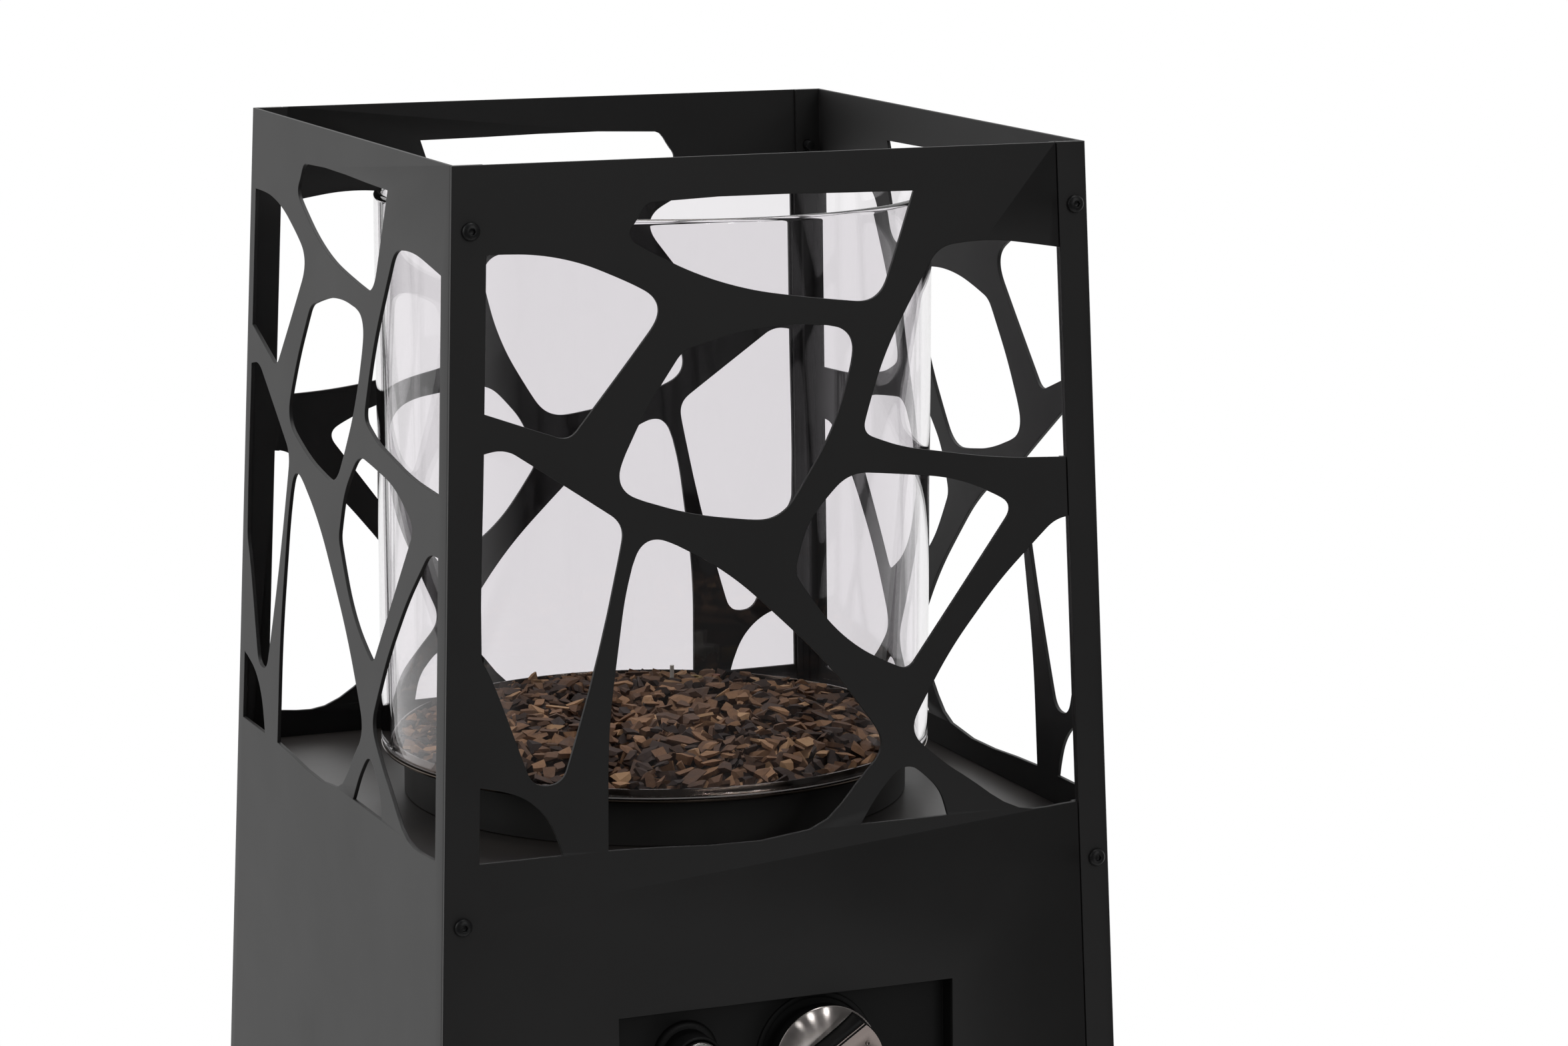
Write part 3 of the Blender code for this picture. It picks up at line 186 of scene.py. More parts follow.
def powder_coat():
    """Anthracite polyester powder, baked on steel sheet: satin, with a fine even grain of about 0.3 mm.

    The grain is drawn at 0.9 mm so that it shows. Edges are rounded by the coat and catch light.
    """
    material, tree, shader, where = start_finish("powder_coat_anthracite")
    grain = add(tree, 'ShaderNodeTexNoise', {'Scale': per_mm(0.9), 'Detail': 2}, {'Vector': where})
    handling = add(tree, 'ShaderNodeTexNoise', {'Scale': per_mm(70), 'Detail': 3, 'Roughness': 0.6},
                   {'Vector': where})
    colour = add(tree, 'ShaderNodeValToRGB', {'stops': [(0.3, '#191818'), (0.7, '#1d1c1c')]},
                 {'Fac': handling})
    gloss = add(tree, 'ShaderNodeMapRange', {'To Min': 0.53, 'To Max': 0.61}, {'Value': handling})
    edges = add(tree, 'ShaderNodeBevel', {'samples': 6, 'Radius': 0.7 * mm})
    surface = add(tree, 'ShaderNodeBump', {'Strength': 0.35, 'Distance': 0.05 * mm},
                  {'Height': grain, 'Normal': edges})
    set_node(tree, shader, {'IOR': 1.5, 'Specular IOR Level': 0.5},
             {'Base Color': colour, 'Roughness': gloss, 'Normal': surface})
    return material


def recess_shade_coat():
    """The same powder, drawn in black as painted shade inside the recess, on the folded box of the controls
    and the ring on its plate.
    """
    material, tree, shader, where = start_finish("powder_coat_painted_recess_shade")
    grain = add(tree, 'ShaderNodeTexNoise', {'Scale': per_mm(0.9), 'Detail': 2}, {'Vector': where})
    handling = add(tree, 'ShaderNodeTexNoise', {'Scale': per_mm(40), 'Detail': 3, 'Roughness': 0.6},
                   {'Vector': where})
    # This black is painted shade of the recess, darker than the shell's powder
    colour = add(tree, 'ShaderNodeValToRGB', {'stops': [(0.3, '#101010'), (0.7, '#141414')]},
                 {'Fac': handling})
    gloss = add(tree, 'ShaderNodeMapRange', {'To Min': 0.55, 'To Max': 0.65}, {'Value': handling})
    edges = add(tree, 'ShaderNodeBevel', {'samples': 6, 'Radius': 0.7 * mm})
    surface = add(tree, 'ShaderNodeBump', {'Strength': 0.35, 'Distance': 0.05 * mm},
                  {'Height': grain, 'Normal': edges})
    set_node(tree, shader, {'IOR': 1.5, 'Specular IOR Level': 0.28},
             {'Base Color': colour, 'Roughness': gloss, 'Normal': surface})
    return material


def heat_proof_paint():
    """Black silicone paint for hot parts, sprayed and cured: browner than the powder and as matt."""
    material, tree, shader, where = start_finish("heat_proof_black_paint")
    grain = add(tree, 'ShaderNodeTexNoise', {'Scale': per_mm(0.7), 'Detail': 2}, {'Vector': where})
    haze = add(tree, 'ShaderNodeTexNoise', {'Scale': per_mm(35), 'Detail': 4, 'Roughness': 0.6},
               {'Vector': where})
    colour = add(tree, 'ShaderNodeValToRGB', {'stops': [(0.3, '#1a1918'), (0.75, '#22201e')]},
                 {'Fac': haze})
    gloss = add(tree, 'ShaderNodeMapRange', {'To Min': 0.5, 'To Max': 0.62}, {'Value': haze})
    surface = add(tree, 'ShaderNodeBump', {'Strength': 0.3, 'Distance': 0.04 * mm}, {'Height': grain})
    set_node(tree, shader, {'IOR': 1.5}, {'Base Color': colour, 'Roughness': gloss, 'Normal': surface})
    return material


def deck_enamel():
    """Satin stove enamel on the deck: smoother than the powder, so it mirrors the light softly."""
    material, tree, shader, where = start_finish("deck_stove_enamel")
    flow = add(tree, 'ShaderNodeTexNoise', {'Scale': per_mm(6), 'Detail': 3}, {'Vector': where})
    dust = add(tree, 'ShaderNodeTexNoise', {'Scale': per_mm(55), 'Detail': 5, 'Roughness': 0.65},
               {'Vector': where})
    colour = add(tree, 'ShaderNodeValToRGB', {'stops': [(0.35, '#292625'), (0.8, '#35312e')]},
                 {'Fac': dust})
    gloss = add(tree, 'ShaderNodeMapRange', {'To Min': 0.32, 'To Max': 0.45}, {'Value': dust})
    edges = add(tree, 'ShaderNodeBevel', {'samples': 6, 'Radius': 0.5 * mm})
    surface = add(tree, 'ShaderNodeBump', {'Strength': 0.2, 'Distance': 0.05 * mm},
                  {'Height': flow, 'Normal': edges})
    set_node(tree, shader, {'IOR': 1.5}, {'Base Color': colour, 'Roughness': gloss, 'Normal': surface})
    return material


def black_oxide():
    """Black oxidised steel screws: a thin dark skin over turned metal, oiled, so it glints."""
    material, tree, shader, where = start_finish("black_oxide_steel")
    skin = add(tree, 'ShaderNodeTexNoise', {'Scale': per_mm(1.2), 'Detail': 3}, {'Vector': where})
    colour = add(tree, 'ShaderNodeValToRGB', {'stops': [(0.3, '#111112'), (0.8, '#19191a')]}, {'Fac': skin})
    gloss = add(tree, 'ShaderNodeMapRange', {'To Min': 0.36, 'To Max': 0.48}, {'Value': skin})
    edges = add(tree, 'ShaderNodeBevel', {'samples': 6, 'Radius': 0.3 * mm})
    surface = add(tree, 'ShaderNodeBump', {'Strength': 0.2, 'Distance': 0.02 * mm},
                  {'Height': skin, 'Normal': edges})
    set_node(tree, shader, {'Metallic': 0.25, 'IOR': 1.5},
             {'Base Color': colour, 'Roughness': gloss, 'Normal': surface})
    return material


def borosilicate_glass():
    """Drawn borosilicate tube with melted ends: clear, with faint long ripples down the wall."""
    material, tree, shader, where = start_finish("borosilicate_glass")
    stretched = add(tree, 'ShaderNodeMapping', {'Scale': (1, 1, 0.12)}, {'Vector': where})
    ripple = add(tree, 'ShaderNodeTexNoise', {'Scale': per_mm(80), 'Detail': 1}, {'Vector': stretched})
    surface = add(tree, 'ShaderNodeBump', {'Strength': 0.03, 'Distance': 0.01 * mm}, {'Height': ripple})
    set_node(tree, shader, {'Base Color': linear('#f3f1f3'), 'Roughness': 0.0, 'IOR': 1.474,
                            'Transmission Weight': 1.0}, {'Normal': surface})
    return material


def ground_glass():
    """The tube's foot, cut and ground flat on a wheel: white and matt, with a grit of about 0.1 mm; its white
    also paints the bright line of light along the foot.

    The grit is drawn at 0.5 mm so that it shows.
    """
    material, tree, shader, where = start_finish("ground_glass_foot_and_painted_highlight")
    grit = add(tree, 'ShaderNodeTexNoise', {'Scale': per_mm(0.5), 'Detail': 3}, {'Vector': where})
    colour = add(tree, 'ShaderNodeValToRGB', {'stops': [(0.3, '#cfcac8'), (0.7, '#e6e3e1')]}, {'Fac': grit})
    gloss = add(tree, 'ShaderNodeMapRange', {'To Min': 0.45, 'To Max': 0.6}, {'Value': grit})
    surface = add(tree, 'ShaderNodeBump', {'Strength': 0.4, 'Distance': 0.05 * mm}, {'Height': grit})
    set_node(tree, shader, {'IOR': 1.474}, {'Base Color': colour, 'Roughness': gloss, 'Normal': surface})
    return material


def spun_steel():
    """Stainless steel tray, spun on a lathe and browned by heat: fine rings 1 mm apart."""
    material, tree, shader, where = start_finish("spun_stainless_steel")
    rings = add(tree, 'ShaderNodeTexWave', {'wave_type': 'RINGS', 'rings_direction': 'Z', 'Distortion': 1.5,
                                            'Detail': 2, 'Scale': per_ring(1)}, {'Vector': where})
    heat = add(tree, 'ShaderNodeTexNoise', {'Scale': per_mm(28), 'Detail': 3, 'Roughness': 0.6},
               {'Vector': where})
    colour = add(tree, 'ShaderNodeValToRGB', {'stops': [(0.3, '#4a413a'), (0.75, '#62584f')]},
                 {'Fac': heat})
    gloss = add(tree, 'ShaderNodeMapRange', {'To Min': 0.14, 'To Max': 0.22}, {'Value': heat})
    surface = add(tree, 'ShaderNodeBump', {'Strength': 0.25, 'Distance': 0.01 * mm},
                  {'Height': rings.outputs['Fac']})
    set_node(tree, shader, {'Metallic': 1.0}, {'Base Color': colour, 'Roughness': gloss, 'Normal': surface})
    return material


def burner_steel():
    """Stainless burner and fittings, drawn and welded: straw and brown heat tint in patches."""
    material, tree, shader, where = start_finish("drawn_stainless_steel")
    tint = add(tree, 'ShaderNodeTexNoise', {'Scale': per_mm(22), 'Detail': 4, 'Roughness': 0.6},
               {'Vector': where})
    squeezed = add(tree, 'ShaderNodeMapping', {'Scale': (1, 1, 6)}, {'Vector': where})
    lines = add(tree, 'ShaderNodeTexNoise', {'Scale': per_mm(3), 'Detail': 3}, {'Vector': squeezed})
    colour = add(tree, 'ShaderNodeValToRGB',
                 {'stops': [(0.3, '#b5afa6'), (0.6, '#a5937a'), (0.85, '#7c6654')]}, {'Fac': tint})
    gloss = add(tree, 'ShaderNodeMapRange', {'To Min': 0.26, 'To Max': 0.4}, {'Value': lines})
    edges = add(tree, 'ShaderNodeBevel', {'samples': 6, 'Radius': 0.3 * mm})
    surface = add(tree, 'ShaderNodeBump', {'Strength': 0.3, 'Distance': 0.02 * mm},
                  {'Height': lines, 'Normal': edges})
    set_node(tree, shader, {'Metallic': 1.0}, {'Base Color': colour, 'Roughness': gloss, 'Normal': surface})
    return material


def slate_chips():
    """Crushed slate, split and tumbled: dull flat breaks, dark plum grey to tan, each chip its own tone; the
    tans are lightened and warmed as painted fire glow.
    """
    material, tree, shader, where = start_finish("crushed_slate")
    tone = add(tree, 'ShaderNodeAttribute', {'attribute_name': 'chip_tone'}).outputs['Fac']
    mottle = add(tree, 'ShaderNodeTexNoise', {'Scale': per_mm(4), 'Detail': 4, 'Roughness': 0.65},
                 {'Vector': where})
    mixed = add(tree, 'ShaderNodeMath', {'operation': 'MULTIPLY_ADD', 1: 0.35}, {0: mottle, 2: tone})
    # The light warm tans are painted glow of fire light over the chips' own tones
    tones = [(0.1, '#2b2220'), (0.36, '#4a3930'), (0.66, '#7a5a42'), (0.92, '#a67f5c'), (1.0, '#b8936d')]
    colour = add(tree, 'ShaderNodeValToRGB', {'stops': tones}, {'Fac': mixed})
    grit = add(tree, 'ShaderNodeTexNoise', {'Scale': per_mm(0.8), 'Detail': 3, 'Roughness': 0.6},
               {'Vector': where})
    layers = add(tree, 'ShaderNodeTexNoise', {'Scale': per_mm(2.5), 'Detail': 3, 'Roughness': 0.6},
                 {'Vector': where})
    layered = add(tree, 'ShaderNodeBump', {'Strength': 0.4, 'Distance': 0.6 * mm}, {'Height': layers})
    rough = add(tree, 'ShaderNodeBump', {'Strength': 0.5, 'Distance': 0.25 * mm},
                {'Height': grit, 'Normal': layered})
    gloss = add(tree, 'ShaderNodeMapRange', {'To Min': 0.68, 'To Max': 0.88}, {'Value': mottle})
    set_node(tree, shader, {'IOR': 1.5, 'Specular IOR Level': 0.4},
             {'Base Color': colour, 'Roughness': gloss, 'Normal': rough})
    return material


def turned_brass():
    """Turned brass fittings, unlacquered: warm, with fine tool marks and slight browning."""
    material, tree, shader, where = start_finish("turned_brass")
    age = add(tree, 'ShaderNodeTexNoise', {'Scale': per_mm(9), 'Detail': 4, 'Roughness': 0.6},
              {'Vector': where})
    marks = add(tree, 'ShaderNodeTexNoise', {'Scale': per_mm(0.6), 'Detail': 2}, {'Vector': where})
    colour = add(tree, 'ShaderNodeValToRGB', {'stops': [(0.3, '#c8a760'), (0.8, '#a8843f')]}, {'Fac': age})
    gloss = add(tree, 'ShaderNodeMapRange', {'To Min': 0.25, 'To Max': 0.42}, {'Value': age})
    edges = add(tree, 'ShaderNodeBevel', {'samples': 6, 'Radius': 0.3 * mm})
    surface = add(tree, 'ShaderNodeBump', {'Strength': 0.4, 'Distance': 0.015 * mm},
                  {'Height': marks, 'Normal': edges})
    set_node(tree, shader, {'Metallic': 1.0}, {'Base Color': colour, 'Roughness': gloss, 'Normal': surface})
    return material


def copper_pipe():
    """Soft-drawn copper pipe, bent by hand: pinkish metal that has dulled in patches."""
    material, tree, shader, where = start_finish("drawn_copper")
    age = add(tree, 'ShaderNodeTexNoise', {'Scale': per_mm(14), 'Detail': 4, 'Roughness': 0.6},
              {'Vector': where})
    draw = add(tree, 'ShaderNodeTexNoise', {'Scale': per_mm(1.0), 'Detail': 2}, {'Vector': where})
    colour = add(tree, 'ShaderNodeValToRGB', {'stops': [(0.3, '#c98b6b'), (0.75, '#93583c')]}, {'Fac': age})
    gloss = add(tree, 'ShaderNodeMapRange', {'To Min': 0.26, 'To Max': 0.45}, {'Value': age})
    surface = add(tree, 'ShaderNodeBump', {'Strength': 0.3, 'Distance': 0.02 * mm}, {'Height': draw})
    set_node(tree, shader, {'Metallic': 1.0}, {'Base Color': colour, 'Roughness': gloss, 'Normal': surface})
    return material


def glazed_ceramic():
    """Glazed alumina sleeve of the spark electrode: white body under a clear glaze."""
    material, tree, shader, where = start_finish("glazed_alumina")
    speck = add(tree, 'ShaderNodeTexNoise', {'Scale': per_mm(1.5), 'Detail': 4, 'Roughness': 0.7},
                {'Vector': where})
    colour = add(tree, 'ShaderNodeValToRGB', {'stops': [(0.3, '#e6e0d4'), (0.7, '#f1eee6')]},
                 {'Fac': speck})
    gloss = add(tree, 'ShaderNodeMapRange', {'To Min': 0.3, 'To Max': 0.42}, {'Value': speck})
    edges = add(tree, 'ShaderNodeBevel', {'samples': 6, 'Radius': 0.3 * mm})
    surface = add(tree, 'ShaderNodeBump', {'Strength': 0.2, 'Distance': 0.03 * mm},
                  {'Height': speck, 'Normal': edges})
    set_node(tree, shader, {'IOR': 1.5, 'Coat Weight': 0.5, 'Coat Roughness': 0.08},
             {'Base Color': colour, 'Roughness': gloss, 'Normal': surface})
    return material


def silicone_lead():
    """Extruded silicone insulation of the spark lead: brick red and waxy."""
    material, tree, shader, where = start_finish("extruded_silicone")
    wax = add(tree, 'ShaderNodeTexNoise', {'Scale': per_mm(5), 'Detail': 3}, {'Vector': where})
    colour = add(tree, 'ShaderNodeValToRGB', {'stops': [(0.3, '#7d2a22'), (0.7, '#93382d')]}, {'Fac': wax})
    gloss = add(tree, 'ShaderNodeMapRange', {'To Min': 0.5, 'To Max': 0.62}, {'Value': wax})
    surface = add(tree, 'ShaderNodeBump', {'Strength': 0.3, 'Distance': 0.03 * mm}, {'Height': wax})
    set_node(tree, shader, {'IOR': 1.43, 'Subsurface Weight': 0.1, 'Subsurface Scale': 0.001},
             {'Base Color': colour, 'Roughness': gloss, 'Normal': surface})
    return material


def moulded_plastic():
    """Black heat-proof nylon with glass fibre, injection moulded: satin, with a spark-eroded grain.

    The real grain of 0.2 mm is drawn at 0.6 mm so that it shows.
    """
    material, tree, shader, where = start_finish("moulded_black_nylon")
    grain = add(tree, 'ShaderNodeTexNoise', {'Scale': per_mm(0.6), 'Detail': 2}, {'Vector': where})
    flow = add(tree, 'ShaderNodeTexNoise', {'Scale': per_mm(18), 'Detail': 3}, {'Vector': where})
    colour = add(tree, 'ShaderNodeValToRGB', {'stops': [(0.3, '#0c0c0c'), (0.7, '#101010')]}, {'Fac': flow})
    gloss = add(tree, 'ShaderNodeMapRange', {'To Min': 0.48, 'To Max': 0.58}, {'Value': flow})
    edges = add(tree, 'ShaderNodeBevel', {'samples': 6, 'Radius': 0.4 * mm})
    surface = add(tree, 'ShaderNodeBump', {'Strength': 0.3, 'Distance': 0.03 * mm},
                  {'Height': grain, 'Normal': edges})
    set_node(tree, shader, {'IOR': 1.53, 'Specular IOR Level': 0.26},
             {'Base Color': colour, 'Roughness': gloss, 'Normal': surface})
    return material


def cast_zinc():
    """Die-cast zinc valve body, as cast and tumbled: grey metal with a slightly orange-peel skin."""
    material, tree, shader, where = start_finish("die_cast_zinc")
    skin = add(tree, 'ShaderNodeTexNoise', {'Scale': per_mm(2.2), 'Detail': 4, 'Roughness': 0.6},
               {'Vector': where})
    colour = add(tree, 'ShaderNodeValToRGB', {'stops': [(0.3, '#838587'), (0.75, '#9fa1a2')]},
                 {'Fac': skin})
    gloss = add(tree, 'ShaderNodeMapRange', {'To Min': 0.42, 'To Max': 0.58}, {'Value': skin})
    edges = add(tree, 'ShaderNodeBevel', {'samples': 6, 'Radius': 0.6 * mm})
    surface = add(tree, 'ShaderNodeBump', {'Strength': 0.4, 'Distance': 0.08 * mm},
                  {'Height': skin, 'Normal': edges})
    set_node(tree, shader, {'Metallic': 1.0}, {'Base Color': colour, 'Roughness': gloss, 'Normal': surface})
    return material


def moulded_rubber():
    """Black rubber of the feet, compression moulded: dull, with dust in its fine grain."""
    material, tree, shader, where = start_finish("moulded_rubber")
    grain = add(tree, 'ShaderNodeTexNoise', {'Scale': per_mm(0.8), 'Detail': 3}, {'Vector': where})
    dust = add(tree, 'ShaderNodeTexNoise', {'Scale': per_mm(12), 'Detail': 4, 'Roughness': 0.6},
               {'Vector': where})
    colour = add(tree, 'ShaderNodeValToRGB', {'stops': [(0.35, '#181818'), (0.8, '#262524')]},
                 {'Fac': dust})
    gloss = add(tree, 'ShaderNodeMapRange', {'To Min': 0.7, 'To Max': 0.85}, {'Value': dust})
    edges = add(tree, 'ShaderNodeBevel', {'samples': 6, 'Radius': 0.5 * mm})
    surface = add(tree, 'ShaderNodeBump', {'Strength': 0.4, 'Distance': 0.06 * mm},
                  {'Height': grain, 'Normal': edges})
    set_node(tree, shader, {'IOR': 1.52, 'Specular IOR Level': 0.35},
             {'Base Color': colour, 'Roughness': gloss, 'Normal': surface})
    return material


def spun_chrome():
    """Chromed knob cap, spun before plating: rings round the knob stretch each light into a wedge."""
    material, tree, shader, where = start_finish("spun_chrome_plate")
    arm = add(tree, 'ShaderNodeVectorMath', {'operation': 'SUBTRACT', 1: tuple(knob_middle)}, {0: where})
    tangent = add(tree, 'ShaderNodeVectorMath', {'operation': 'NORMALIZE'}, {0: arm})
    reach = add(tree, 'ShaderNodeVectorMath', {'operation': 'LENGTH'}, {0: arm}).outputs['Value']
    out = add(tree, 'ShaderNodeCombineXYZ', links={'X': reach})
    rings = add(tree, 'ShaderNodeTexNoise', {'Scale': per_mm(0.5), 'Detail': 2}, {'Vector': out})
    film = add(tree, 'ShaderNodeTexNoise', {'Scale': per_mm(8), 'Detail': 3}, {'Vector': where})
    # The warm tint of the chrome is a painted reflection of warm surroundings
    colour = add(tree, 'ShaderNodeValToRGB', {'stops': [(0.3, '#c2bab6'), (0.7, '#d2cbc7')]}, {'Fac': film})
    gloss = add(tree, 'ShaderNodeMapRange', {'To Min': 0.15, 'To Max': 0.2}, {'Value': film})
    surface = add(tree, 'ShaderNodeBump', {'Strength': 0.3, 'Distance': 0.003 * mm}, {'Height': rings})
    set_node(tree, shader, {'Metallic': 1.0, 'Anisotropic': 0.95},
             {'Base Color': colour, 'Roughness': gloss, 'Tangent': tangent, 'Normal': surface})
    return material


def satin_nickel():
    """Satin nickel on the grip's inlay, blasted before plating: a warm grey with a soft sheen."""
    material, tree, shader, where = start_finish("satin_nickel_plate")
    blast = add(tree, 'ShaderNodeTexNoise', {'Scale': per_mm(0.8), 'Detail': 4, 'Roughness': 0.7},
                {'Vector': where})
    colour = add(tree, 'ShaderNodeValToRGB', {'stops': [(0.25, '#8e837f'), (0.8, '#9a8f8a')]},
                 {'Fac': blast})
    gloss = add(tree, 'ShaderNodeMapRange', {'To Min': 0.26, 'To Max': 0.36}, {'Value': blast})
    surface = add(tree, 'ShaderNodeBump', {'Strength': 0.3, 'Distance': 0.01 * mm}, {'Height': blast})
    set_node(tree, shader, {'Metallic': 1.0}, {'Base Color': colour, 'Roughness': gloss, 'Normal': surface})
    return material


def polished_chrome():
    """Chrome of the igniter's button, plated on polished brass: greyer and softer than the knob's."""
    material, tree, shader, where = start_finish("polished_chrome_plate")
    film = add(tree, 'ShaderNodeTexNoise', {'Scale': per_mm(6), 'Detail': 3}, {'Vector': where})
    colour = add(tree, 'ShaderNodeValToRGB', {'stops': [(0.3, '#8f8c8a'), (0.7, '#9d9a98')]}, {'Fac': film})
    gloss = add(tree, 'ShaderNodeMapRange', {'To Min': 0.22, 'To Max': 0.28}, {'Value': film})
    surface = add(tree, 'ShaderNodeBump', {'Strength': 0.1, 'Distance': 0.01 * mm}, {'Height': film})
    set_node(tree, shader, {'Metallic': 1.0}, {'Base Color': colour, 'Roughness': gloss, 'Normal': surface})
    return material


coat = powder_coat()
# black_coat paints the shade inside the control recess, on the box and the bezel ring
black_coat = recess_shade_coat()
paint = heat_proof_paint()
enamel = deck_enamel()
oxide = black_oxide()
clear_glass = borosilicate_glass()
white_foot = ground_glass()
tray_steel = spun_steel()
tube_steel = burner_steel()
slate = slate_chips()
brass = turned_brass()
copper = copper_pipe()
ceramic = glazed_ceramic()
silicone = silicone_lead()
nylon = moulded_plastic()
zinc = cast_zinc()
rubber = moulded_rubber()
chrome = spun_chrome()
nickel = satin_nickel()
bright_chrome = polished_chrome()

finish_of = {
    'base_plate': coat, 'bottle_ring': coat, 'control_box': black_coat, 'door': coat,
    'front_panel': coat, 'back_panel': coat, 'left_panel': coat, 'right_panel': coat,
    'hinge_bracket_upper': coat, 'hinge_bracket_lower': coat,
    'deck_plate': enamel, 'burner_collar': paint, 'glass_tube': clear_glass, 'burner_tray': tray_steel,
    'burner': tube_steel, 'valve_spindle': tube_steel, 'door_pin_upper': tube_steel,
    'door_pin_lower': tube_steel, 'latch_cam': tube_steel, 'stone_bed': slate,
    'gas_injector': brass, 'pilot_burner': brass, 'hose_inlet': brass, 'valve_plug': brass,
    'gas_pipe': copper, 'pilot_pipe': copper, 'thermocouple': copper,
    'ignition_electrode': ceramic, 'ignition_lead': silicone, 'valve_body': zinc,
    'knob': chrome, 'knob_inlay': nickel, 'igniter_button': bright_chrome,
    'knob_grip': nylon, 'knob_bezel': nylon, 'igniter_body': nylon, 'igniter_nut': nylon,
    'tilt_switch': nylon, 'tilt_lead': nylon, 'latch_knob': nylon,
    'foot_1': rubber, 'foot_2': rubber, 'foot_3': rubber, 'foot_4': rubber,
}
for name, node in nodes.items():
    finish = finish_of.get(name, oxide)
    node.data.materials.clear()
    node.data.materials.append(finish)


# Modelling by hand


def pick(*pieces):
    """Select only these pieces, the first one active."""
    bpy.ops.object.select_all(action='DESELECT')
    for piece in pieces:
        piece.select_set(True)
    bpy.context.view_layer.objects.active = pieces[0]


def open_mesh(piece):
    """Go into edit mode on a piece."""
    pick(piece)
    bpy.ops.object.mode_set(mode='EDIT')


def close_mesh():
    """Go back to object mode."""
    bpy.ops.object.mode_set(mode='OBJECT')


def select_faces(piece, wanted):
    """Select the faces whose centre and normal pass a test. Ends in edit mode."""
    close_mesh()
    for part in (*piece.data.vertices, *piece.data.edges, *piece.data.polygons):
        part.select = False
    for face in piece.data.polygons:
        face.select = wanted(face.center, face.normal)
    bpy.ops.object.mode_set(mode='EDIT')
    bpy.ops.mesh.select_mode(type='FACE')


def shaped(piece, kind, **settings):
    """Add a modifier, set it and apply it."""
    step = piece.modifiers.new(kind.lower(), kind)
    for name, value in settings.items():
        setattr(step, name, value)
    pick(piece)
    bpy.ops.object.modifier_apply(modifier=step.name)
    return piece


def lathe(profile, sides, ring=False):
    """Turn a profile of (radius, height) round Z, drawn point by point with extrusions.

    The profile of a ring is closed. Any other starts and ends on the axis.
    """
    start = profile[0]
    bpy.ops.mesh.primitive_plane_add(size=0.001, location=(start[0], 0, start[1]))
    piece = bpy.context.active_object
    bpy.ops.object.transform_apply(location=True, rotation=True, scale=True)
    open_mesh(piece)
    bpy.ops.mesh.select_mode(type='VERT')
    bpy.ops.mesh.select_all(action='SELECT')
    bpy.ops.mesh.merge(type='CENTER')
    for (radius, height), (next_radius, next_height) in zip(profile, profile[1:]):
        step = (next_radius - radius, 0, next_height - height)
        bpy.ops.mesh.extrude_region_move(TRANSFORM_OT_translate={'value': step})
    bpy.ops.mesh.select_all(action='SELECT')
    if ring:
        bpy.ops.mesh.select_all(action='DESELECT')
        close_mesh()
        for end in (0, len(profile) - 1):
            piece.data.vertices[end].select = True
        open_mesh(piece)
        bpy.ops.mesh.edge_face_add()
        bpy.ops.mesh.select_all(action='SELECT')
    bpy.ops.mesh.spin(steps=sides, angle=full_turn, center=(0, 0, 0), axis=(0, 0, 1))
    bpy.ops.mesh.select_all(action='SELECT')
    bpy.ops.mesh.remove_doubles(threshold=0.000001)
    bpy.ops.mesh.normals_make_consistent(inside=False)
    close_mesh()
    return piece


def smooth(piece, angle):
    """Shade smooth, apart from edges sharper than an angle in degrees."""
    pick(piece)
    bpy.ops.object.shade_smooth_by_angle(angle=math.radians(angle))
    return piece


def settle(piece, place):
    """Put a piece in its place and leave its object at the origin, unturned."""
    piece.matrix_world = place
    pick(piece)
    bpy.ops.object.transform_apply(location=True, rotation=True, scale=True)
    return piece


def dress(piece, name, finish, body, slot, *stands_for):
    """Name a piece, give it its finish and body, and say which CAD nodes it stands for."""
    piece.name = name
    piece.data.name = name
    piece.data.materials.clear()
    piece.data.materials.append(finish)
    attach(piece, body)
    if stands_for:
        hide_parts(*stands_for)
    return piece


# Laser-cut sheets of the shell

curve_cuts = 3
least_turn = math.radians(1.5)
most_turn = math.radians(50)
side_slope, wall_slope = 0.99, 0.2
level_room = 0.0001


def solid_copy(name):
    """A free copy of a CAD node, with its triangles joined into one skin."""
    piece = nodes[name].copy()
    piece.data = nodes[name].data.copy()
    for key in list(piece.keys()):
        del piece[key]
    piece.parent = None
    piece.matrix_world = Matrix.Identity(4)
    scene.collection.objects.link(piece)
    piece.hide_render = piece.hide_viewport = False
    open_mesh(piece)
    bpy.ops.mesh.select_all(action='SELECT')
    bpy.ops.mesh.remove_doubles(threshold=0.000005)
    close_mesh()
    return piece


def outline_edges(mesh, way):
    """Edges between a sheet's flat sides and its cut walls, and each corner's neighbours along them."""
    sides = {}
    for face in mesh.polygons:
        for key in face.edge_keys:
            sides.setdefault(key, []).append(abs(face.normal.dot(way)))
    edges = [key for key, slopes in sides.items() if max(slopes) > side_slope and min(slopes) < wall_slope]
    along = {}
    for a, b in edges:
        along.setdefault(a, []).append(b)
        along.setdefault(b, []).append(a)
    return edges, along


def curve_heading(mesh, along, corner, step):
    """Heading of an outline at a corner, and whether it bends there in a curve and not sharply."""
    others = [other for other in along[corner] if other != step]
    ahead = mesh.vertices[step].co - mesh.vertices[corner].co
    if len(others) != 1:
        return ahead.normalized(), False
    came = mesh.vertices[corner].co - mesh.vertices[others[0]].co
    turn = came.angle(ahead)
    if turn > most_turn:
        return ahead.normalized(), False
    return (came + ahead).normalized(), turn > least_turn


def curve_point(start, end, leave, arrive, t):
    """Point at a share of the curve that leaves one corner and arrives at the next with these headings."""
    length = (end - start).length
    return ((2 * t ** 3 - 3 * t ** 2 + 1) * start + (3 * t ** 2 - 2 * t ** 3) * end
            + length * ((t ** 3 - 2 * t ** 2 + t) * leave - (t ** 3 - t ** 2) * arrive))


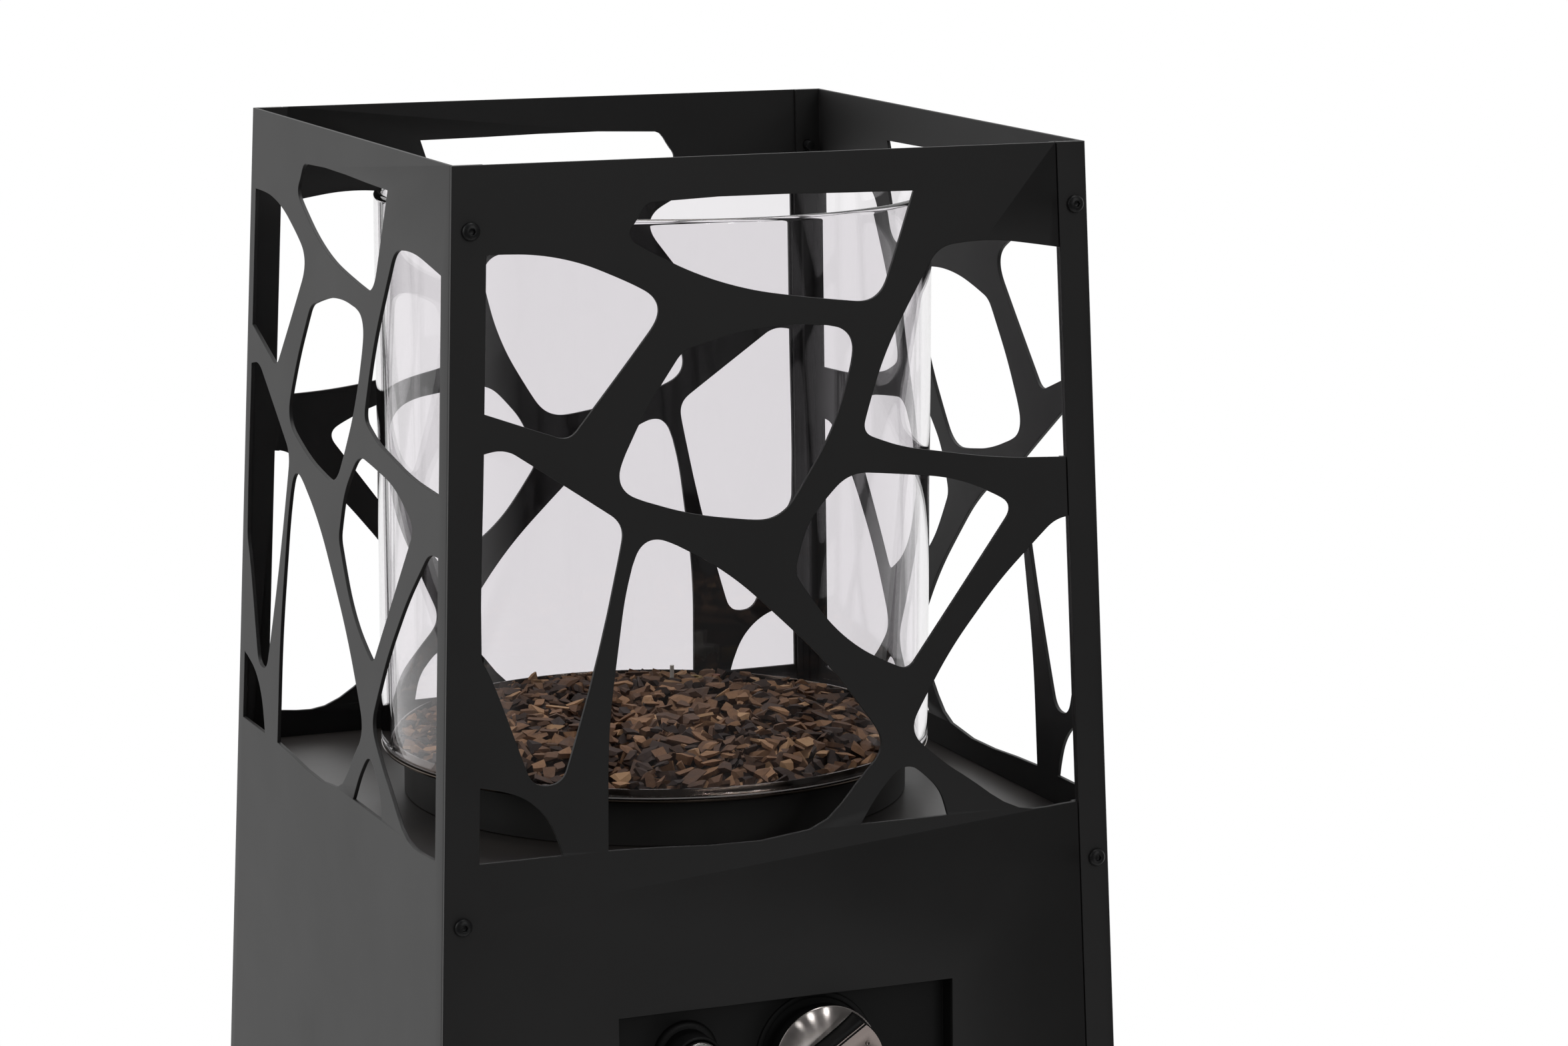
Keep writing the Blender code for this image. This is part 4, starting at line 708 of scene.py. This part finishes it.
def plan_curves(mesh, way):
    """Edges to be curved, each new point on them with its place on the curve, and the sides' levels."""
    edges, along = outline_edges(mesh, way)
    skin = max(vertex.co.dot(way) for vertex in mesh.vertices)
    picked, chords, curves, levels = set(), [], [], set()
    for a, b in edges:
        start, end = mesh.vertices[a].co, mesh.vertices[b].co
        leave, bends_a = curve_heading(mesh, along, a, b)
        arrive, bends_b = curve_heading(mesh, along, b, a)
        if start.dot(way) < skin - sheet - level_room or not (bends_a or bends_b):
            continue
        picked.add((a, b))
        levels.add(round(start.dot(way), 4))
        for i in range(1, curve_cuts + 1):
            share = i / (curve_cuts + 1)
            chords.append(start.lerp(end, share))
            curves.append(curve_point(start, end, leave, arrive, share))
    return picked, chords, curves, levels


def select_edges(piece, wanted):
    """Select the edges that pass a test. Ends in edit mode."""
    close_mesh()
    for part in (*piece.data.vertices, *piece.data.polygons):
        part.select = False
    for edge in piece.data.edges:
        edge.select = wanted(edge)
    bpy.ops.object.mode_set(mode='EDIT')
    bpy.ops.mesh.select_mode(type='EDGE')


def on_level(point, way, level):
    """Whether a point lies on a side of the sheet."""
    return abs(point.dot(way) - level) < 2 * level_room


def curve_edges(piece, picked, chords, curves):
    """Cut edges into short ones and move the new corners onto their curves."""
    mesh = piece.data
    near = KDTree(len(chords))
    for i, at in enumerate(chords):
        near.insert(at, i)
    near.balance()
    drawn = len(mesh.vertices)
    select_edges(piece, lambda edge: edge.key in picked)
    bpy.ops.mesh.subdivide(number_cuts=curve_cuts, ngon=True)
    close_mesh()
    for vertex in mesh.vertices[drawn:]:
        at, i, gap = near.find(vertex.co)
        if gap < level_room / 10:
            vertex.co = curves[i]


def fill_side(piece, way, level):
    """Fill a side of the sheet between its open edges."""
    mesh = piece.data
    users = {}
    for face in mesh.polygons:
        for key in face.edge_keys:
            users[key] = users.get(key, 0) + 1
    select_edges(piece, lambda edge: users.get(edge.key) == 1
                 and all(on_level(mesh.vertices[end].co, way, level) for end in edge.vertices))
    bpy.ops.mesh.fill(use_beauty=False)
    close_mesh()


def laser_cut(name, turn):
    """A sheet of the shell whose cut-outs follow smooth curves through their corners, as a laser cuts them.

    Its flat sides are taken off, their outlines curved, and the sides filled again.
    """
    piece = solid_copy(name)
    way = Matrix.Rotation(turn, 3, 'Z') @ Vector((0, -math.cos(lean), math.sin(lean)))
    select_faces(piece, lambda centre, normal: abs(normal.dot(way)) < wall_slope)
    bpy.ops.mesh.dissolve_limited(angle_limit=math.radians(0.2))
    close_mesh()
    picked, chords, curves, levels = plan_curves(piece.data, way)
    select_faces(piece, lambda centre, normal: abs(normal.dot(way)) > side_slope
                 and any(on_level(centre, way, level) for level in levels))
    bpy.ops.mesh.delete(type='FACE')
    close_mesh()
    curve_edges(piece, picked, chords, curves)
    for level in levels:
        fill_side(piece, way, level)
    open_mesh(piece)
    bpy.ops.mesh.select_all(action='SELECT')
    bpy.ops.mesh.normals_make_consistent(inside=False)
    close_mesh()
    smooth(piece, 30)
    return dress(piece, f'{name}_cut_sheet', coat, 'heater', 'powder_coat', name)


for name, turn in (('front_panel', 0), ('right_panel', quarter_turn), ('back_panel', half_turn),
                   ('left_panel', -quarter_turn)):
    laser_cut(name, turn)


# Button-head screws of the shell


def button_screw():
    """An M5 button head: low dome, hexagon socket with a rounded mouth, and a plain shank."""
    shank, length, head = 0.0025, 0.010, 0.00475
    rim, dome, top = 0.0005, 0.0022, 0.0030
    across_flats, socket_depth, over, edge = 0.0030, 0.0017, 0.002, 0.00018
    steps, reach_share, side_power, rise_power = 8, 0.9, 0.75, 1.1
    low = seat_gap
    profile = [(0, -length), (shank, -length), (shank, low), (head, low), (head, low + rim)]
    for i in range(1, steps):
        angle = quarter_turn * i / steps
        profile.append((head * math.cos(angle * reach_share) ** side_power,
                        low + rim + dome * math.sin(angle) ** rise_power))
    profile.append((0, top))
    screw = lathe(profile, 48)
    bpy.ops.mesh.primitive_cylinder_add(vertices=6, radius=across_flats / math.sqrt(3), depth=2 * over,
                                        location=(0, 0, top + over - socket_depth))
    key = bpy.context.active_object
    shaped(screw, 'BOOLEAN', operation='DIFFERENCE', object=key, solver='EXACT')
    bpy.data.objects.remove(key)
    shaped(screw, 'BEVEL', width=edge, segments=2, limit_method='ANGLE', angle_limit=math.radians(40))
    return smooth(screw, 40)


def shell_screws():
    """Four rows of screws at both corners of the front and the back, each turned its own way."""
    rows, first_drop, last_rise = 4, 0.0326, 0.0334
    left_inset, right_inset = 0.0101, 0.0076
    first_twist, next_twist = 0.35, 1.1
    first = button_screw()
    spacing = (body_height - first_drop - last_rise) / (rows - 1)
    for face, turn in (('front', 0), ('back', half_turn)):
        number = 0
        for row in range(rows):
            drop = first_drop + row * spacing
            half = top_width / 2 + lean_share * drop
            for across in (left_inset - half, half - right_inset):
                number += 1
                screw = first.copy()
                screw.data = first.data.copy()
                scene.collection.objects.link(screw)
                twist = Matrix.Rotation(first_twist + next_twist * number + turn, 4, 'Z')
                settle(screw, face_place(drop, across, turn) @ twist)
                name = f'{face}_screw_{number}'
                dress(screw, f'{name}_head', oxide, 'heater', 'black_screw', name)
    bpy.data.objects.remove(first)


shell_screws()


# Glass tube, tray and collar

glass_low, glass_high = (corner.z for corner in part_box('glass_tube'))
glass_radius = 0.1525
tray_top = glass_low - seat_gap
pilot_across, pilot_row, pilot_spacing = 0.0600, 0.0900, 0.0140


def glass():
    """Tube with a 5 mm wall: its top end melted to a round bead, its foot ground."""
    wall, straight, ground = 0.005, 0.0032, 0.0015
    outer, inner, bead = glass_radius, glass_radius - wall, wall / 2
    middle = outer - bead
    arc = [quarter_turn * i / 6 for i in range(-6, 7)]
    top = [(middle + bead * math.sin(-a), glass_high - bead + bead * math.cos(a)) for a in arc]
    bottom = [(middle + bead * math.sin(a), glass_low + bead - bead * math.cos(a)) for a in arc]
    # Rows close to each bead keep the wall's own normals straight
    inner_wall = [(inner, glass_high - straight), (inner, glass_low + straight)]
    outer_wall = [(outer, glass_low + straight), (outer, glass_high - straight)]
    tube = lathe(top + inner_wall + bottom + outer_wall, 600, True)
    pick(tube)
    bpy.ops.object.shade_smooth()
    dress(tube, 'glass_wall', clear_glass, 'heater', 'glass', 'glass_tube')
    tube.data.materials.append(white_foot)
    # The ground foot is real, and its white band is also a painted highlight along the glass's lower edge
    for face in tube.data.polygons:
        if face.center.z < glass_low + ground:
            face.material_index = 1
    return tube


def tray():
    """Spun tray: rolled rim under the glass, and the lip that keeps the stones off it."""
    rim, lip_out, lip_in, bowl_out, bowl_in = glass_radius, 0.1463, 0.1448, 0.137, 0.1355
    lip, depth, gauge = 0.005, 0.022, 0.0015
    bend, corner, edge, small_edge, lip_edge = 0.002, 0.0006, 0.0004, 0.0003, 0.0005
    top, floor = tray_top, tray_top - depth
    profile = [(0, floor), (bowl_in - bend, floor), (bowl_in - corner, floor + corner),
               (bowl_in, floor + bend), (bowl_in, top), (lip_in, top), (lip_in, top + lip - lip_edge),
               (lip_in + small_edge, top + lip), (lip_out - small_edge, top + lip),
               (lip_out, top + lip - lip_edge), (lip_out, top), (rim - edge, top), (rim, top - edge),
               (rim, top - gauge + edge), (rim - edge, top - gauge), (bowl_out, top - gauge),
               (bowl_out, floor + corner), (bowl_out - gauge - corner, floor - gauge),
               (0, floor - gauge)]
    bowl = lathe(profile, 160)
    drills = [(0, 0, 0.0113)]
    for step, radius in ((-1, 0.0038), (0, 0.0053), (1, 0.0028)):
        drills.append((pilot_across + step * pilot_spacing, pilot_row, radius))
    for x, y, radius in drills:
        bpy.ops.mesh.primitive_cylinder_add(vertices=32, radius=radius, depth=0.008, location=(x, y, floor))
        drill = bpy.context.active_object
        shaped(bowl, 'BOOLEAN', operation='DIFFERENCE', object=drill, solver='EXACT')
        bpy.data.objects.remove(drill)
    smooth(bowl, 40)
    return dress(bowl, 'spun_tray', tray_steel, 'heater', 'steel', 'burner_tray')


def collar():
    """Ring under the tray, rolled from sheet."""
    inner, outer, edge = 0.1385, 0.140, 0.0002
    low, high = (corner.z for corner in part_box('burner_collar'))
    profile = [(inner, low), (outer - edge, low), (outer, low + edge), (outer, high - edge),
               (outer - edge, high), (inner, high)]
    ring = smooth(lathe(profile, 160, True), 40)
    return dress(ring, 'rolled_collar', paint, 'heater', 'black_coat', 'burner_collar')


glass()
tray()
collar()


# Bed of crushed slate


def chip_shapes(luck, count):
    """A few chips, each a small block split by flat breaks into an angular flake."""
    breaks, nearest, further = 7, 0.21, 0.19
    chips = []
    for _ in range(count):
        bpy.ops.mesh.primitive_cube_add(size=1)
        chip = bpy.context.active_object
        open_mesh(chip)
        for _ in range(breaks):
            way = Vector(luck.normal(size=3)).normalized()
            reach = nearest + further * luck.random()
            bpy.ops.mesh.select_all(action='SELECT')
            bpy.ops.mesh.bisect(plane_co=way * reach, plane_no=way, use_fill=True, clear_outer=True)
        bpy.ops.mesh.select_all(action='SELECT')
        bpy.ops.mesh.remove_doubles(threshold=0.02)
        bpy.ops.mesh.normals_make_consistent(inside=False)
        length, width, height = 1.45, 0.75 + 0.35 * luck.random(), 0.34 + 0.26 * luck.random()
        bpy.ops.transform.resize(value=(length, width, height))
        close_mesh()
        chips.append(chip)
    return chips


def chip_planes(chip):
    """Corners of a chip, and the normals and distances of its faces."""
    points = np.array([tuple(v.co) for v in chip.data.vertices])
    normals = np.array([tuple(f.normal) for f in chip.data.polygons])
    centres = np.array([tuple(f.center) for f in chip.data.polygons])
    return points, normals, (normals * centres).sum(1)


def chip_heights(ways, offsets, x, y):
    """Heights of a chip's top and underside over places around it, from the planes of its faces."""
    least, far_off = 1e-6, 9
    slopes = np.where(abs(ways[:, 2]) < least, least, ways[:, 2])[:, None, None]
    height = (offsets[:, None, None] - ways[:, 0, None, None] * x - ways[:, 1, None, None] * y) / slopes
    top = np.where((ways[:, 2] > 0)[:, None, None], height, far_off).min(0)
    low = np.where((ways[:, 2] < 0)[:, None, None], height, -far_off).max(0)
    return top, low


def drop_chips(luck, chips, tries):
    """Kind and place of each chip that finds room, dropped one after another on a grid of heights.

    The chips heap to a low crown in the bowl, lie thinly on the flange, and leave the pilot's well free.
    """
    planes = [chip_planes(chip) for chip in chips]
    cell, half, bowl, flange, lip = 0.001, 0.15, 0.1345, 0.1350, 0.1443
    rise, swell, shoulder, layers, flange_layer = 0.0015, 0.010, 5, 0.0075, 0.0035
    well_across, well_deep = 0.0245, 0.0105
    least_size, more_size, tilt, sink = 0.0070, 0.0095, 0.6, 0.0006
    least_over, more_over = 0.0036, 0.0016
    grid = np.arange(-half, half + cell / 10, cell)
    x, y = np.meshgrid(grid, grid, indexing='ij')
    reach = np.hypot(x, y)
    crown = tray_top + rise + swell * (1 - (np.minimum(reach, bowl) / bowl) ** shoulder)
    ground = np.where(reach > flange, tray_top + 0.0001, crown - layers)
    crown = np.where(reach > flange, tray_top + flange_layer, crown)
    blocked = (reach > lip) | (abs(x - pilot_across) < well_across) & (abs(y - pilot_row) < well_deep)
    made = []
    for _ in range(tries):
        angle, far = full_turn * luck.random(), lip * math.sqrt(luck.random())
        place = Vector((far * math.cos(angle), far * math.sin(angle), 0))
        kind = int(luck.integers(len(chips)))
        size = least_size + more_size * luck.random() ** 1.6
        turn = Matrix.Rotation(full_turn * luck.random(), 3, 'Z')
        for axis in 'XY':
            turn = turn @ Matrix.Rotation(luck.normal() * tilt, 3, axis)
        points, normals, offsets = planes[kind]
        turned = np.array(turn)
        corners = points @ turned.T * size
        i = ((corners[:, 0] + place.x) - grid[0]) / cell
        j = ((corners[:, 1] + place.y) - grid[0]) / cell
        i0, i1, j0, j1 = int(i.min()), int(i.max()) + 2, int(j.min()), int(j.max()) + 2
        if min(i0, j0) < 0 or max(i1, j1) >= len(grid):
            continue
        part = (slice(i0, i1), slice(j0, j1))
        top, low = chip_heights(normals @ turned.T, offsets * size, x[part] - place.x, y[part] - place.y)
        inside = top > low
        if not inside.any() or (inside & blocked[part]).any():
            continue
        rest = (ground[part] - low)[inside].max() - sink
        over = (rest + top - crown[part])[inside].max()
        if over > least_over + more_over * luck.random():
            continue
        ground[part] = np.where(inside, np.maximum(ground[part], rest + top), ground[part])
        place.z = rest
        made.append((kind, Matrix.Translation(place) @ turn.to_4x4() @ Matrix.Scale(size, 4)))
    return made


def set_tone(stone, value):
    """Give a stone its tone, from 0, dark, to 1, tan."""
    tone = stone.data.attributes.new('chip_tone', 'FLOAT', 'POINT')
    for item in tone.data:
        item.value = value


def stone_bed():
    """Chips on a core that fills the bowl below them; the core is toned darkest, as painted shade in the gaps
    between the chips.
    """
    core_drop, core_gap_shade_tone = 0.0070, 0.1
    middle_tone, tone_spread, lightest = 0.37, 0.24, 0.85
    kinds, tries = 14, 30000
    luck = np.random.default_rng(7)
    core = solid_copy('stone_bed')
    for vertex in core.data.vertices:
        if vertex.co.z > tray_top:
            vertex.co.z -= core_drop
    # Darkest tone on the core: painted shade between the chips
    set_tone(core, core_gap_shade_tone)
    chips = chip_shapes(luck, kinds)
    stones = [core]
    for kind, place in drop_chips(luck, chips, tries):
        stone = chips[kind].copy()
        stone.data = chips[kind].data.copy()
        set_tone(stone, min(lightest, max(0.0, middle_tone + tone_spread * luck.normal())))
        scene.collection.objects.link(stone)
        stone.matrix_world = place
        stones.append(stone)
    pick(*stones)
    bpy.ops.object.join()
    for chip in chips:
        bpy.data.objects.remove(chip)
    return dress(core, 'slate_bed', slate, 'heater', 'stone', 'stone_bed')


stone_bed()


# Knob


def bar(radius, width, low, high):
    """A bar across a circle: a disc whose two sides are sawn off."""
    bpy.ops.mesh.primitive_cylinder_add(vertices=128, radius=radius, depth=high - low,
                                        location=(0, 0, (low + high) / 2))
    piece = bpy.context.active_object
    bpy.ops.object.transform_apply(location=True, rotation=True, scale=True)
    open_mesh(piece)
    for side in (-1, 1):
        bpy.ops.mesh.select_all(action='SELECT')
        bpy.ops.mesh.bisect(plane_co=(0, side * width / 2, 0), plane_no=(0, side, 0), use_fill=True,
                            clear_outer=True)
    close_mesh()
    return piece


def knob_cap():
    """Chromed dome with a rolled rim, slotted for the grip."""
    crown, fall, dome, steps = 0.0085, 0.0028, 0.0292, 14
    profile = [(dome * i / steps, crown - fall * (i / steps) ** 4) for i in range(steps + 1)]
    profile += [(0.02975, 0.0056), (0.0300, 0.0053), (0.0300, 0.0049), (0.0297, 0.0045), (0.0288, 0.0045),
                (0.0288, 0.0053), (0, 0.0053)]
    cap = lathe(profile, 128)
    slot = bar(0.0290, 0.0270, 0.0037, 0.012)
    shaped(cap, 'BOOLEAN', operation='DIFFERENCE', object=slot, solver='EXACT')
    bpy.data.objects.remove(slot)
    settle(smooth(cap, 30), knob_frame)
    return dress(cap, 'knob_dome', chrome, 'gas_knob', 'chrome', 'knob')


def knob_skirt():
    """Moulded skirt and hub behind the dome."""
    radius, front, back, wall, hub, bore = 0.0290, 0.0036, -0.0058, 0.003, 0.007, 0.0043
    hub_back, edge, rise = -0.0085, 0.0006, 0.0008
    profile = [(0, front), (radius, front), (radius, back + rise), (radius - edge, back),
               (radius - wall + edge, back), (radius - wall, back + edge), (radius - wall, 0), (hub, 0),
               (hub, hub_back), (bore, hub_back), (bore, -seat_gap), (0, -seat_gap)]
    skirt = smooth(lathe(profile, 128), 35)
    settle(skirt, knob_frame)
    return dress(skirt, 'knob_skirt', nylon, 'gas_knob', 'black_plastic', 'knob')


def knob_grip():
    """Moulded grip bar, drafted towards its top, with soft edges."""
    long_share, wide_share = 0.965, 0.9242
    grip = bar(0.0287, 0.0264, 0.0040, 0.0175)
    select_faces(grip, lambda centre, normal: normal.z > 0.9)
    bpy.ops.transform.resize(value=(long_share, wide_share, 1))
    close_mesh()
    shaped(grip, 'BEVEL', width=0.0009, segments=3, limit_method='ANGLE', angle_limit=math.radians(50))
    settle(smooth(grip, 40), knob_frame)
    return dress(grip, 'knob_handle', nylon, 'gas_knob', 'black_plastic', 'knob_grip')


def knob_inlay():
    """Nickel strip with a blackened line engraved along each side and a punched mark at one end."""
    low, thick, depth, room = 0.0178, 0.0008, 0.0005, 0.0001
    line_out, line_in = 0.0096, 0.0086
    punch_radius, punch_along, punch_high = 0.0016, 0.0205, 0.0018
    strip = bar(0.0270, 0.0204, low, low + thick)
    open_mesh(strip)
    for place in (line_out, line_in):
        for side in (-1, 1):
            bpy.ops.mesh.select_all(action='SELECT')
            bpy.ops.mesh.bisect(plane_co=(0, side * place, 0), plane_no=(0, 1, 0))
    select_faces(strip, lambda centre, normal: normal.z > 0.9 and line_in < abs(centre.y) < line_out)
    bpy.ops.mesh.extrude_region_move(TRANSFORM_OT_translate={'value': (0, 0, -depth)})
    close_mesh()
    bpy.ops.mesh.primitive_uv_sphere_add(segments=32, ring_count=16, radius=punch_radius,
                                         location=(punch_along, 0, low + punch_high))
    punch = bpy.context.active_object
    shaped(strip, 'BOOLEAN', operation='DIFFERENCE', object=punch, solver='EXACT')
    bpy.data.objects.remove(punch)
    shaped(strip, 'BEVEL', width=0.00012, segments=2, limit_method='ANGLE', angle_limit=math.radians(50))
    # Sharp at the bevels, so that the flat top stays evenly lit
    settle(smooth(strip, 15), knob_frame)
    dress(strip, 'inlay_strip', nickel, 'gas_knob', 'satin_silver', 'knob_inlay')
    strip.data.materials.append(nylon)
    unplaced = knob_frame.inverted()
    for face in strip.data.polygons:
        at = unplaced @ face.center
        if line_in - room < abs(at.y) < line_out + room and at.z < low + thick - 2 * room:
            face.material_index = 1
    return strip


def knob_bezel():
    """Ring on the plate round the knob, in the plate's black, which paints the recess's shade."""
    inner, outer, height, small, edge, top = 0.0308, 0.0340, 0.0011, 0.0002, 0.0006, 0.0005
    low = recess_floor
    profile = [(inner, low), (outer, low), (outer, low + top), (outer - small, low + height - small),
               (outer - edge, low + height), (inner + top, low + height),
               (inner + small / 2, low + height - small), (inner, low + edge)]
    ring = smooth(lathe(profile, 128, True), 50)
    settle(ring, knob_frame)
    return dress(ring, 'bezel_ring', black_coat, 'heater', 'black_plastic', 'knob_bezel')


knob_cap()
knob_skirt()
knob_grip()
knob_inlay()
knob_bezel()


# Igniter


def igniter_barrel():
    """Moulded barrel with a domed flange and a rounded mouth round the button."""
    back = recess_floor
    profile = [(0, -0.052), (0.0120, -0.052), (0.0130, -0.051), (0.0130, back), (0.0176, back),
               (0.0180, back + 0.0004), (0.0179, back + 0.0014), (0.0172, back + 0.0024),
               (0.0160, back + 0.0030), (0.0142, back + 0.0031), (0.0140, back + 0.0036), (0.0140, 0.0068),
               (0.0137, 0.0077), (0.0131, 0.0080), (0.0124, 0.0078), (0.0121, 0.0072), (0.0121, -0.020),
               (0, -0.020)]
    barrel = smooth(lathe(profile, 96), 40)
    settle(barrel, igniter_frame)
    return dress(barrel, 'igniter_barrel', nylon, 'heater', 'black_plastic', 'igniter_body')


def igniter_button():
    """Chromed button with a raised rim and a dished face."""
    profile = [(0, -0.004), (0.0116, -0.004), (0.0116, 0.0098), (0.0114, 0.0107), (0.0108, 0.0111),
               (0.0100, 0.0109), (0.0092, 0.0101), (0.0070, 0.0096), (0.0040, 0.0093), (0, 0.0092)]
    button = smooth(lathe(profile, 96), 50)
    settle(button, igniter_frame)
    return dress(button, 'igniter_push_button', bright_chrome, 'igniter_push', 'chrome', 'igniter_button')


igniter_barrel()
igniter_button()


# Studio


def studio_light():
    """Even soft light all round, and white behind the heater, also in gloss and glass."""
    even_level, front_level = 0.38, 0.07
    grey_until, white_from = -0.2, 0.45
    world = bpy.data.worlds.new("studio")
    scene.world = world
    world.use_nodes = True
    tree = world.node_tree
    ray = add(tree, 'ShaderNodeLightPath').outputs
    way = add(tree, 'ShaderNodeTexCoord').outputs['Generated']
    back = add(tree, 'ShaderNodeSeparateXYZ', links={'Vector': way}).outputs['Y']
    behind = add(tree, 'ShaderNodeMapRange', {'From Min': grey_until, 'From Max': white_from,
                                              'To Min': front_level}, {'Value': back})
    bent = add(tree, 'ShaderNodeMath', {'operation': 'MAXIMUM'},
               {0: ray['Is Glossy Ray'], 1: ray['Is Transmission Ray']})
    # What is seen straight through the glass is as white as the surround itself
    turned = add(tree, 'ShaderNodeMath', {'operation': 'ADD'},
                 {0: ray['Glossy Depth'], 1: ray['Diffuse Depth']})
    unturned = add(tree, 'ShaderNodeMath', {'operation': 'LESS_THAN', 1: 0.5}, {0: turned})
    through = add(tree, 'ShaderNodeMath', {'operation': 'MULTIPLY'},
                  {0: ray['Is Transmission Ray'], 1: unturned})
    white = add(tree, 'ShaderNodeMath', {'operation': 'MAXIMUM'}, {0: ray['Is Camera Ray'], 1: through})
    mirrored = add(tree, 'ShaderNodeMath', {'operation': 'MULTIPLY'}, {0: bent, 1: behind})
    shown = add(tree, 'ShaderNodeMath', {'operation': 'MAXIMUM'}, {0: white, 1: mirrored})
    either = add(tree, 'ShaderNodeMath', {'operation': 'MAXIMUM'}, {0: ray['Is Camera Ray'], 1: bent})
    level = add(tree, 'ShaderNodeMapRange', {'To Min': even_level, 'To Max': 0.0}, {'Value': either})
    strength = add(tree, 'ShaderNodeMath', {'operation': 'ADD'}, {0: shown, 1: level})
    set_node(tree, tree.nodes['Background'], {'Color': (1, 1, 1, 1)}, {'Strength': strength})


def softbox(name, place, aim, size, power):
    """A flat soft lamp of a width and a height, aimed at a point and unseen itself."""
    data = bpy.data.lights.new(name, 'AREA')
    data.shape = 'RECTANGLE'
    data.size, data.size_y = size
    data.energy = power
    lamp = bpy.data.objects.new(name, data)
    scene.collection.objects.link(lamp)
    way = Vector(aim) - Vector(place)
    lamp.matrix_world = Matrix.Translation(place) @ way.to_track_quat('-Z', 'Y').to_matrix().to_4x4()
    lamp.visible_camera = False
    return lamp


def studio_floor():
    """Pale floor that fades into the white surround away from the heater."""
    radius, solid_until, gone_from = 3.0, 0.5, 1.4
    bpy.ops.mesh.primitive_circle_add(vertices=96, radius=radius, fill_type='NGON', location=(0, 0, 0))
    floor = bpy.context.active_object
    floor.name = 'studio_floor'
    material, tree, shader, where = start_finish("pale_floor")
    set_node(tree, shader, {'Base Color': linear('#ecebe9'), 'Roughness': 0.7, 'Specular IOR Level': 0.2})
    far = add(tree, 'ShaderNodeVectorMath', {'operation': 'LENGTH'}, {0: where}).outputs['Value']
    fade = add(tree, 'ShaderNodeMapRange', {'interpolation_type': 'SMOOTHSTEP', 'From Min': solid_until,
                                            'From Max': gone_from}, {'Value': far})
    clear = add(tree, 'ShaderNodeBsdfTransparent')
    mixed = add(tree, 'ShaderNodeMixShader', links={0: fade, 1: shader, 2: clear})
    set_node(tree, tree.nodes['Material Output'], links={'Surface': mixed})
    floor.data.materials.append(material)


def knob_lamps():
    """Three strips and a low card, which the knob's chrome and nickel mirror."""
    strips_away, strip_power = 3.0, 42
    strips = ((0.363, 0.383, 0.15, 0.44), (0.161, 0.368, 0.15, 0.44), (-0.008, 0.293, 0.11, 0.24))
    for number, (right, rise, width, height) in enumerate(strips):
        ahead = -math.sqrt(1 - right ** 2 - rise ** 2)
        softbox(f'strip_lamp_{number}', knob_middle + strips_away * Vector((right, ahead, rise)), knob_middle,
                (width, height), strip_power * width * height)
    card_place = knob_middle + 0.6 * Vector((0.391, -0.886, -0.249))
    softbox('low_card', card_place, knob_middle, (0.26, 0.15), 0.16)


studio_light()
softbox('key_softbox', (-2.3, 0.2, 1.9), (0, 0, 0.9), (1.5, 1.8), 16)
softbox('top_softbox', (0.2, 0.3, 3.1), (0, 0, 0.9), (1.4, 1.4), 26)
softbox('front_softbox', (0.9, -2.4, 2.9), (0, 0, 1.1), (1.2, 1.2), 7)
knob_lamps()
studio_floor()
scene.view_settings.view_transform = 'Standard'
